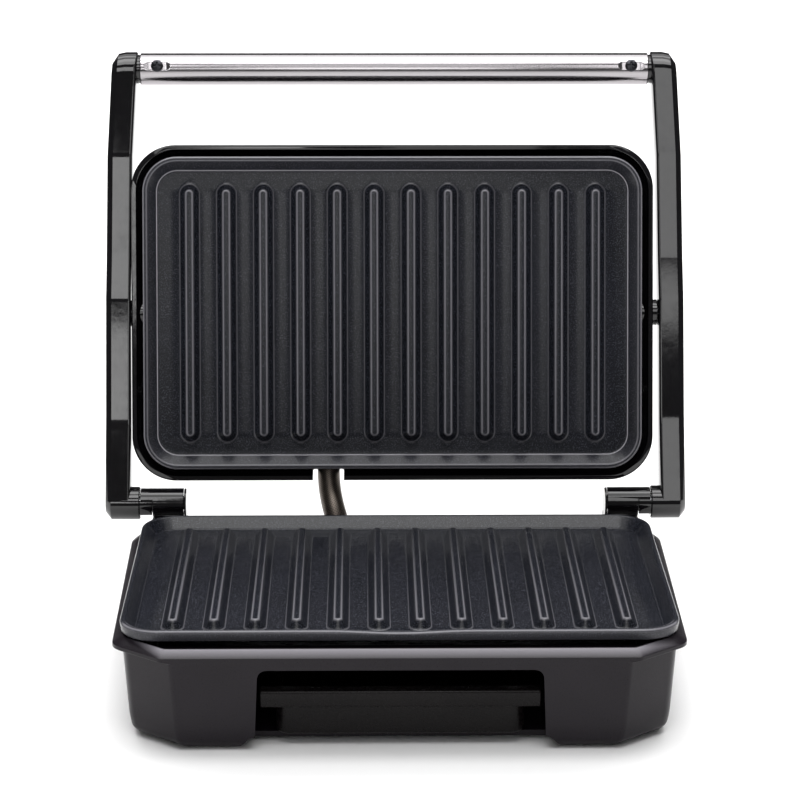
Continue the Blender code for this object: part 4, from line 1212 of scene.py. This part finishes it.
@dataclass
class HandleBar:
    """Brushed tube between the arms, pressed flat round each of its two screws.

    The flat is an oval, dimple_long along the tube and dimple_round about it.
    """

    radius: float = 0.0075
    wall: float = 0.0011
    half_length: float = 0.1186
    end_round: float = 0.0004
    screw_x: float = 0.1105
    dimple_long: float = 0.0052
    dimple_round: float = 0.0042
    dimple_flat: float = 0.00028
    head_radius: float = 0.0028
    head_height: float = 0.0012
    cross_half: float = 0.00034
    cross_depth: float = 0.0009

    def axis(self) -> tuple[np.ndarray, np.ndarray]:
        """Place of the tube's axis and the way its screws face.

        Returns:
            Both as (y, z) in the closed lid's frame.
        """
        arms = LidArms()
        down = np.array([-arms.along[1], arms.along[0]])
        return arms.along * arms.reach + down * arms.handle_offset, down

    def tube(self) -> Skin:
        """Tube whose radius falls to a flat inside an oval round each screw.

        Returns:
            The skin in the closed lid's frame.
        """
        near_screw = np.linspace(-0.0075, 0.0075, 41)
        near_end = np.array([0.0, 0.5, 1.0]) * self.end_round
        between = np.linspace(-0.1, 0.1, 21)
        xs = np.r_[
            -self.half_length + near_end,
            self.half_length - near_end,
            -self.screw_x + near_screw,
            self.screw_x + near_screw,
            between,
        ]
        angle = circle(128)
        grid_x, grid_a = np.meshgrid(np.unique(xs), angle, indexing="ij")
        away = np.abs(np.abs(grid_x) - self.screw_x)
        arc = self.radius * ((grid_a + math.pi) % FULL_TURN - math.pi)
        oval = np.hypot(away / self.dimple_long, arc / self.dimple_round)
        blend = eased((1.18 - oval) / 0.36)
        aslant = np.cos(np.clip(arc / self.radius, -1, 1))
        flat = (self.radius - self.dimple_flat) / np.maximum(aslant, 0.3)
        to_end = np.minimum(self.half_length - np.abs(grid_x), self.end_round) / self.end_round
        fall = 1 - np.sqrt(np.clip(1 - (1 - to_end) ** 2, 0, 1))
        radius = self.radius - self.end_round * fall
        radius = radius + (np.minimum(flat, radius) - radius) * blend
        outer = self.polar(grid_x, grid_a, radius)
        ends_x = np.array([-self.half_length, self.half_length])
        inner_x, inner_a = np.meshgrid(ends_x, angle, indexing="ij")
        inner = self.polar(inner_x, inner_a, np.full(inner_x.shape, self.radius - self.wall))
        skin = Skin().grid(outer, wrap_columns=True).grid(inner, wrap_columns=True)
        skin.grid(np.array([outer[0], inner[0]]), wrap_columns=True)
        return skin.grid(np.array([outer[-1], inner[-1]]), wrap_columns=True)

    def polar(self, x: np.ndarray, angle: np.ndarray, radius: np.ndarray) -> np.ndarray:
        """Points round the tube's axis; angle zero faces the way the screws do.

        Args:
            x: place along the tube.
            angle: angle round it.
            radius: distance from its axis.

        Returns:
            Grid of points.
        """
        centre, down = self.axis()
        other = np.array([-down[1], down[0]])
        outward = np.cos(angle)[..., None] * down + np.sin(angle)[..., None] * other
        return np.concatenate([x[..., None], centre + radius[..., None] * outward], -1)

    def screw(self, sign: int) -> Skin:
        """Domed screw head, pressed in near either arm of its cross recess.

        Args:
            sign: side of the press.

        Returns:
            The skin in the closed lid's frame.
        """
        rim = self.head_radius * np.array([0.92, 0.97, 1.0, 1.0])
        radii = np.r_[np.linspace(0.0, self.head_radius * 0.86, 22), rim]
        angle = circle(96)
        r, a = np.meshgrid(radii, angle, indexing="ij")
        share = r / self.head_radius
        height = self.head_height * np.sqrt(np.clip(1 - (share * 0.88) ** 2.6, 0.0, 1.0))
        height[-1] = 0.0
        u, v = r * np.cos(a), r * np.sin(a)
        half = self.cross_half + 0.10 * np.maximum(0.0, 0.0008 - r)
        aside = np.minimum(np.abs(u), np.abs(v))
        pressed = np.clip((half * 1.5 - aside) / (half * 0.6), 0.0, 1.0) * (share < 0.66)
        height = height - pressed * self.cross_depth
        centre, down = self.axis()
        side = np.array([-down[1], down[0]])
        seat = self.radius - self.dimple_flat + 0.00002
        offset = (seat + height)[..., None] * down + v[..., None] * side
        grid = np.concatenate([(sign * self.screw_x + u)[..., None], centre + offset], -1)
        return Skin().grid(grid, wrap_columns=True).cap(grid[-1])

    def build(self) -> None:
        """Makes the tube and its two screws."""
        place = lid_frame().place
        tube = self.tube().placed(place).piece("handle_bar", Slot.HANDLE_STEEL, 50.0)
        settle(tube, Body.ARMS, "handle_tube")
        for side, sign in (("left", -1), ("right", 1)):
            head = self.screw(sign).placed(place)
            piece = head.piece("handle_screw_head_" + side, Slot.SCREW_BLACK, 45.0)
            settle(piece, Body.ARMS, "handle_screw_" + side)


@dataclass
class BaseCasing:
    """Moulded casing with angled front corners, cut for the plate, tray and hinges.

    Places along Y are measured from the plate's middle. flange and chamfer shape the
    upper edge, deck and shelf are the two heights behind the plate, and the gutter is
    the hollow that the plate's sides hang into.
    """

    front: float = -0.0820
    rear: float = 0.1000
    side: float = 0.1134
    flange: float = 0.0042
    facet_in: float = 0.0206
    facet_back: float = 0.0160
    top: float = 0.0428
    chamfer: float = 0.0024
    chamfer_in: float = 0.0040
    corner_round: float = 0.0040
    facet_round: float = 0.0014
    wall: float = 0.0022
    hinge_y: float = 0.0870
    foot_inner: float = 0.1179
    barrel_inner: float = 0.0978
    deck: float = 0.0405
    shelf: float = 0.0340
    step_y: float = 0.0770
    well_in: float = 0.0042
    gutter_floor: float = 0.0404
    opening_half: tuple[float, float] = (0.0594, 0.0578)
    opening_top: float = 0.0352
    arch_half: tuple[float, float] = (0.0660, 0.0610)
    arch_top: float = 0.0060

    def plan(self, side: float, front: float, flange: float, inward: float) -> np.ndarray:
        """Outline in plan: straight front, angled corners, drawn-in rear, each corner softened.

        Args:
            side: half width at this level.
            front: place of the front at this level.
            flange: how far the flange stands out.
            inward: how far the whole outline is pulled in.

        Returns:
            Points, (n, 2), counterclockwise.
        """
        rear = self.rear - (0.0 if flange else 0.0015)
        wide = side + flange
        half = np.array(
            [
                [wide - self.facet_in, front],
                [wide, front + self.facet_back],
                [wide + (0.0022 if flange else 0.0), self.hinge_y - 0.0270],
                [self.foot_inner - 0.0046, self.hinge_y - 0.0090],
                [self.foot_inner - 0.0052, rear - 0.0060],
                [self.foot_inner - 0.0120, rear],
            ]
        )
        corners = np.concatenate([half, half[::-1] * [-1, 1]])
        reach = np.full(len(corners), self.corner_round)
        reach[[0, -1]] = self.facet_round
        return softened(offset_inwards(corners, inward), reach, 9, True)

    def rings(self, inward: float) -> np.ndarray:
        """Level rings from the bottom edge up to the crown, in plan offset to the world.

        Args:
            inward: wall thickness for the inner form and zero for the outer one.

        Returns:
            Grid of points.
        """
        side, front, top = self.side, self.front, self.top
        edge = top - self.chamfer
        levels = np.array(
            [
                [0.0010, side - 0.0058, front + 0.0032, 0.0],
                [0.0022, side - 0.0040, front + 0.0016, 0.0],
                [0.0040, side - 0.0028, front + 0.0006, 0.0],
                [0.0090, side - 0.0019, front, 0.0],
                [edge - 0.0024, side, front, 0.0],
                [edge - 0.0016, side, front, self.flange],
                [edge, side, front, self.flange],
            ]
        )
        reach = np.array([0.0, 0.0008, 0.0010, 0.0022, 0.0005, 0.0003, 0.0])
        if inward:
            levels = levels[:5].copy()
            levels[0, 0] = -0.005
            levels[-1, 0] = self.gutter_floor - self.wall
            reach = reach[:5]
        soft = softened(levels, reach, 5)
        rings = [lifted(self.plan(*row[1:], inward), row[0]) for row in soft]
        if not inward:
            crown, inner, gutter = (
                self.plan(side, front, self.flange, self.chamfer_in + further)
                for further in (0.0, 0.0010, 0.0014)
            )
            last = rings[-1]
            over = lifted(crown, top)
            rings += [last * 0.96 + over * 0.04, last * 0.05 + over * 0.95, over]
            rings += [lifted(inner, top), lifted(gutter, top - 0.0005)]
            rings.append(lifted(gutter, self.gutter_floor))
        return np.array(rings)

    def form(
        self, name: str, rings: np.ndarray, painted_light: np.ndarray | None = None
    ) -> bpy.types.Object:
        """Closed solid from rings.

        Args:
            name: its name.
            rings: grid of points in the casing's plan.
            painted_light: painted highlight from 0 to 1 at each point.

        Returns:
            The object in world place.
        """
        return Skin().solid(plan_to_world(rings), painted_light).piece(name, Slot.BASE_BLACK, 30.0)

    def prism(
        self, name: str, outline: np.ndarray, near: float, far: float, axis: str
    ) -> bpy.types.Object:
        """Straight cutter from an outline, along Y for a wall opening and along Z for a well.

        Args:
            name: its name.
            outline: points in X and Z, or in X and Y.
            near: where it starts.
            far: where it ends.
            axis: "Y" or "Z".

        Returns:
            The cutter.
        """
        ends = np.array([lifted(outline, at) for at in (near, far)])
        return self.form(name, ends[..., [0, 2, 1]] if axis == "Y" else ends)

    def box(self, name: str, low: tuple, high: tuple) -> bpy.types.Object:
        """Box cutter between two corners of the plan.

        Args:
            name: its name.
            low: lowest corner.
            high: highest corner.

        Returns:
            The cutter.
        """
        (x0, y0, z0), (x1, y1, z1) = low, high
        return self.prism(name, np.array([[x0, y0], [x1, y0], [x1, y1], [x0, y1]]), z0, z1, "Z")

    def build(self) -> None:
        """Makes the casing, with a painted highlight along its front chamfer."""
        rings = self.rings(0.0)
        # Painted highlight along the front of the chamfer, fading out between 6 and 12 mm behind
        # the front.
        behind = (rings[-6:-3, :, 1] - self.front - 0.0060) / 0.0060
        painted_light = np.zeros(rings.shape[:2])
        painted_light[-6:-3] = np.clip(1.0 - behind, 0.0, 1.0)
        casing = self.form("base_casing_shell", rings, painted_light)
        hollow = self.form("hollow", self.rings(self.wall))
        wide, end, over = 0.13, self.rear + 0.02, self.top + 0.02
        levels = (("deck", wide, self.deck), ("shelf", self.barrel_inner - 0.0006, self.shelf))

        def cleared(name: str, half: float, height: float, grow: float) -> bpy.types.Object:
            """Box over the deck or shelf, grown by a wall to leave one under it."""
            low = (-half - grow, self.step_y - grow, height - grow)
            return self.box(name, low, (half + grow, end, over))

        carve(hollow, [cleared(name + "_keep", *size, self.wall) for name, *size in levels])
        cutters = [cleared(name, *size, 0.0) for name, *size in levels]
        plate, along = GrillPlate(), np.linspace(-1, 1, 5)
        half = (plate.half_x - self.well_in, plate.half_y - self.well_in)
        well = rounded_rect(*half, plate.corner - self.well_in, along, along, 12)
        cutters.append(self.prism("well", well, self.top - 0.006, self.top + 0.01, "Z"))
        for name, outline in (("opening", self.opening()), ("arch", self.arch())):
            near, far = self.front - 0.005, self.front + 0.008
            cutters.append(self.prism(name, outline, near, far, "Y"))
        carve(casing, [*cutters, hollow], 34.0)
        bevel_edges(casing, 0.0004)
        settle(casing, Body.BASE, "base_casing")

    def opening(self) -> np.ndarray:
        """Outline of the tray's opening in X and Z, with rounded upper corners.

        Returns:
            Points, (n, 2).
        """
        (low, high), top = self.opening_half, self.opening_top
        corners = np.array([[-low, -0.001], [low, -0.001], [high, top], [-high, top]])
        return softened(corners, np.array([0, 0, 0.0042, 0.0042]), 9, True)

    def arch(self) -> np.ndarray:
        """Outline of the low arch under the front edge, in X and Z.

        Returns:
            Points, (n, 2).
        """
        (low, high), top = self.arch_half, self.arch_top
        corners = np.array(
            [[-low, -0.002], [low, -0.002], [low, 0.0], [high, top], [-high, top], [-low, 0.0]]
        )
        return softened(corners, np.array([0, 0, 0.001, 0.0025, 0.0025, 0.001]), 6, True)


@dataclass
class DripTray:
    """Pan with a raised front wall under a wide grip bar."""

    half_x: float = 0.0508
    front: float = -0.0765
    length: float = 0.1160
    corner: float = 0.0058
    rise_from: float = 0.0085
    front_top: float = 0.0205
    rear_top: float = 0.0150
    lip_half: float = 0.0570
    lip_low: float = 0.0181
    lip_high: float = 0.0258
    lip_near: float = -0.0805
    lip_far: float = -0.0753

    def pan(self) -> Skin:
        """Rounded pan: one section carried round the plan, its top edge higher at the front.

        Returns:
            The skin in the press's plan.
        """
        half_y = self.length / 2
        centre = self.front + half_y
        outside = [[8, 5.0], [0.7, 5.0], [0.0, 5.9], [0.0, 15.0]]
        inside = [[1.6, 15.0], [1.6, 7.9], [3.0, 6.6], [9, 6.6]]
        section = np.array(outside + inside) * MM
        reach = np.array([0, 0.4, 0.4, 0.35, 0.35, 0.8, 0.8, 0]) * MM
        along = np.linspace(-1, 1, 13)
        rings = []
        for inset, height in softened(section, reach, 6):
            half = (self.half_x - inset, half_y - inset)
            ring = rounded_rect(*half, max(self.corner - inset, 0.0018), along, along, 8)
            ring[:, 1] += centre
            rise = eased((self.front + 0.012 - ring[:, 1]) / 0.006)
            lift = rise * (self.front_top - self.rear_top)
            share = (height - self.rise_from) / (self.rear_top - self.rise_from)
            rings.append(lifted(ring, height + lift * np.clip(share, 0.0, 1.0)))
        return Skin().solid(np.array(rings))

    def lip(self) -> Skin:
        """Grip bar: a rounded section carried along X and drawn in over its last millimetre.

        Returns:
            The skin in the press's plan.
        """
        y0, y1, z0, z1 = self.lip_near, self.lip_far, self.lip_low, self.lip_high
        corners = np.array([[y0 + 0.0006, z0], [y1, z0], [y1, z1], [y0, z1 - 0.0004]])
        section = softened(corners, np.array([0.0012, 0.0005, 0.0006, 0.0013]), 7, True)
        turn = np.radians(np.linspace(0.0, 90.0, 6))
        ends = np.stack([1 - np.cos(turn), 1 - np.sin(turn)], 1) * 0.0007
        places = [(-self.lip_half + x, pull) for x, pull in ends]
        places += [(-x, pull) for x, pull in places[::-1]]
        rings = [
            np.column_stack([np.full(len(section), x), offset_inwards(section, pull)])
            for x, pull in places
        ]
        return Skin().solid(np.array(rings))

    def build(self) -> None:
        """Makes the tray, pan and grip bar in one piece."""
        skin, lip = self.pan(), self.lip()
        skin.faces += [[corner + skin.count for corner in face] for face in lip.faces]
        skin.points += lip.points
        skin.painted_light += lip.painted_light
        tray = skin.placed(plan_to_world).piece("drip_tray_pan", Slot.TRAY_BLACK, 40.0)
        settle(tray, Body.TRAY, "drip_tray")


@dataclass
class SteelConduit:
    """Braided flexible tube that carries the upper plate's wires over the hinge."""

    radius: float = 0.0052
    base_x: float = -0.0268
    base_z: float = 0.0280
    behind_hinge: float = 0.0030
    straight: float = 0.0098
    bend: float = 0.0070
    strands: int = 22
    weave_pitch: float = 0.0046
    relief: float = 0.00016

    def path(self) -> np.ndarray:
        """Centre line: up out of the grommet, one cubic Bezier curve, into the housing.

        Returns:
            Points, (n, 3).
        """
        hinge = middle("hinge_pin_left")
        platen = platen_frame()
        start = np.array([self.base_x, hinge[1] + self.behind_hinge, self.base_z])
        housing = LidHousing()
        inside = np.array([housing.notch_x, housing.half_y - 0.0100, 0.0012])
        finish = platen.place(inside)
        lead = turned_x(np.array([0.0, -1.0, 0.0]), math.radians(platen.degrees))
        leave = start + np.array([0.0, 0.0, self.straight])
        enter = finish - lead * self.straight / 2
        first = leave + np.array([-0.0016, 0.0, self.bend])
        second = enter - lead * self.bend * 1.9
        t = np.linspace(0.0, 1.0, 160)[:, None]
        curve = leave * (1 - t) ** 3 + first * 3 * t * (1 - t) ** 2
        curve = curve + second * 3 * t**2 * (1 - t) + enter * t**3
        low = np.linspace(start, leave, 60)[:-1]
        high = np.linspace(enter, finish, 40)[1:]
        return np.concatenate([low, curve, high])

    def build(self) -> None:
        """Makes the tube, raised where either of two helical strand families lies on top."""
        path = self.path()
        ahead = np.gradient(path, axis=0)
        ahead /= np.linalg.norm(ahead, axis=1)[:, None]
        side = np.cross(ahead, np.array([0.0, 1.0, 0.0]))
        side /= np.linalg.norm(side, axis=1)[:, None]
        other = np.cross(ahead, side)
        length = np.r_[0.0, np.cumsum(np.linalg.norm(np.diff(path, axis=0), axis=1))]
        angle = circle(176)
        s, a = np.meshgrid(length, angle, indexing="ij")
        turn = self.strands / 2
        left = np.sin(turn * a + s * FULL_TURN / self.weave_pitch * 2)
        right = np.sin(turn * a - s * FULL_TURN / self.weave_pitch * 2)
        height = np.maximum(np.abs(left), np.abs(right))
        radius = self.radius - self.relief + self.relief * height
        ring = side[:, None] * np.cos(a)[..., None] + other[:, None] * np.sin(a)[..., None]
        grid = path[:, None] + ring * radius[..., None]
        # Painted shade in the gaps between the strands.
        gap = np.clip(np.clip(1.0 - height, 0.0, 1.0) * 1.2, 0.0, 1.0)
        piece = Skin().solid(grid, gap).piece("braided_conduit", Slot.BRAID_STEEL, 80.0)
        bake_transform(piece)
        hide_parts("steel_conduit")
        LOG.info("%s bends between %s and %s", piece.name, Body.BASE.value, Body.ARMS.value)


# Width of the rounded edges of parts that keep their CAD shape, by the name's start.
ROUNDING = {
    "foot_": 0.0003,
    "hinge_barrel_": 0.0005,
    "barrel_cap_": 0.0002,
    "bottom_cover": 0.0003,
    "cord_gland": 0.0003,
    "conduit_grommet": 0.0004,
    "terminal_block": 0.0003,
    "thermal_fuse": 0.0002,
    "cover_screw_": 0.00015,
    "pivot_bush_": 0.0003,
}


def dress_small_parts() -> None:
    """Copies every CAD node that no other piece stands for, merged, rounded and finished."""
    slots = node_slots()
    for name, node in sorted(frame["nodes"].items()):
        if node.hide_render:
            continue
        mesh = node.data.copy()
        simplify(mesh, 2 * MERGE, 0.5)
        piece = finished(name + "_part", mesh, slots[name], 32.0)
        width = next((w for stem, w in ROUNDING.items() if name.startswith(stem)), 0.0)
        if width:
            bevel_edges(piece, width)
        settle(piece, Body(node["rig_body"]), name)


# Studio


@dataclass(frozen=True)
class Softbox:
    """Soft rectangular lamp with its place, the point it faces, its size and its power.

    Gloss shows it only if it is mirrored.
    """

    name: str
    place: tuple[float, float, float]
    aim: tuple[float, float, float]
    size: tuple[float, float]
    watts: float
    mirrored: bool = True


LAMPS = (
    Softbox("overhead_softbox", (0.0, 0.235, 1.30), (0.0, 0.23, 0.0), (1.4, 1.5), 13.0),
    Softbox("overhead_strip", (0.0, 0.12, 1.26), (0.0, 0.11, 0.0), (1.3, 0.35), 5.0),
    Softbox("backdrop_softbox", (0.0, 3.6, 2.6), (0.0, 3.6, 0.0), (7.0, 4.5), 420.0, False),
    Softbox("front_softbox", (0.0, -0.95, 2.10), (0.0, 0.05, 0.15), (1.2, 0.7), 13.0),
    Softbox("middle_card", (0.0, -1.45, 1.42), (0.0, 0.1, 0.24), (0.40, 0.90), 1.3),
    Softbox("plate_card", (-0.01, -1.45, 0.66), (0.0, 0.1, 0.15), (0.30, 0.36), 0.95),
    Softbox("left_low_card", (-0.325, -1.45, 0.62), (-0.13, 0.1, 0.12), (0.15, 0.21), 0.50),
    Softbox("left_high_card", (-0.325, -1.45, 1.32), (-0.13, 0.1, 0.18), (0.15, 0.42), 0.92),
    Softbox("right_card", (0.325, -1.45, 1.05), (0.13, 0.1, 0.2), (0.16, 0.62), 0.92),
)


@dataclass
class Studio:
    """Pale paper floor, soft lamps and the camera, whose angles are in degrees."""

    camera_place: tuple[float, float, float] = (-0.01432, -1.10208, 0.44016)
    azimuth: float = -0.813
    elevation: float = 16.608
    roll: float = 0.097
    lens: float = 117.54
    sky: float = 0.11
    floor_half: float = 6.0

    def camera(self) -> None:
        """Adds the camera."""
        a, e, r = (math.radians(v) for v in (self.azimuth, self.elevation, self.roll))
        back = Vector((math.sin(a) * math.cos(e), -math.cos(a) * math.cos(e), math.sin(e)))
        right = Vector((math.cos(a), math.sin(a), 0.0))
        up = back.cross(right)
        x_axis = right * math.cos(r) + up * math.sin(r)
        y_axis = up * math.cos(r) - right * math.sin(r)
        data = bpy.data.cameras.new("studio_camera")
        data.sensor_width = 36.0
        data.lens = self.lens
        data.clip_start = 0.05
        eye = bpy.data.objects.new("studio_camera", data)
        turn = Matrix((x_axis, y_axis, back)).transposed().to_4x4()
        eye.matrix_world = Matrix.Translation(self.camera_place) @ turn
        bpy.context.scene.collection.objects.link(eye)
        bpy.context.scene.camera = eye

    def lamp(self, lamp: Softbox) -> None:
        """Adds one soft rectangular lamp.

        Args:
            lamp: where it hangs, what it faces, its size and its power.
        """
        data = bpy.data.lights.new(lamp.name, "AREA")
        data.shape = "RECTANGLE"
        data.size, data.size_y = lamp.size
        data.energy = lamp.watts
        made = bpy.data.objects.new(lamp.name, data)
        made.location = lamp.place
        made.visible_glossy = lamp.mirrored
        ahead = Vector(lamp.aim) - Vector(lamp.place)
        made.rotation_euler = ahead.to_track_quat("-Z", "Y").to_euler()
        bpy.context.scene.collection.objects.link(made)

    def build(self) -> None:
        """Sets up floor, sky, lamps and camera."""
        self.camera()
        world = bpy.data.worlds.new("studio_air")
        world.use_nodes = True
        air = world.node_tree.nodes["Background"]
        air.inputs["Color"].default_value = linear("#FFFFFF")
        air.inputs["Strength"].default_value = self.sky
        bpy.context.scene.world = world
        bpy.context.scene.view_settings.view_transform = "Standard"
        for lamp in LAMPS:
            self.lamp(lamp)
        xs = np.linspace(-self.floor_half, self.floor_half, 5)
        paper = Skin().grid(np.stack([*np.meshgrid(xs, xs), np.zeros((5, 5))], -1))
        mesh = bpy.data.meshes.new("paper_floor")
        mesh.from_pydata(paper.points[0].tolist(), [], paper.faces)
        mesh.materials.append(PAPER.build())
        floor = bpy.data.objects.new("paper_floor", mesh)
        bpy.context.scene.collection.objects.link(floor)


def node_slots() -> dict[str, Slot]:
    """Slot of each CAD node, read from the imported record.

    Returns:
        Slot by node name.
    """
    by_name = {slot.value[0]: slot for slot in Slot}
    return {row["node"]: by_name[row["material_slot"]] for row in frame["record"]["subparts"]}


def main() -> None:
    """Builds every sub-assembly in order."""
    logging.basicConfig(level=logging.INFO, format="%(message)s")
    Studio().build()
    lower = GrillPlate(dip_depth=0.0011, quiet=0.04, skirt=0.10, drain=(0.0, -0.0622))
    lower.build("lower_grill_plate", lower_place, Body.BASE)
    GrillPlate().build("upper_grill_plate", upper_place, Body.PLATEN)
    for assembly in (LidHousing, LidArms, HandleBar, BaseCasing, DripTray, SteelConduit):
        assembly().build()
    dress_small_parts()


if __name__ == "__main__":
    main()
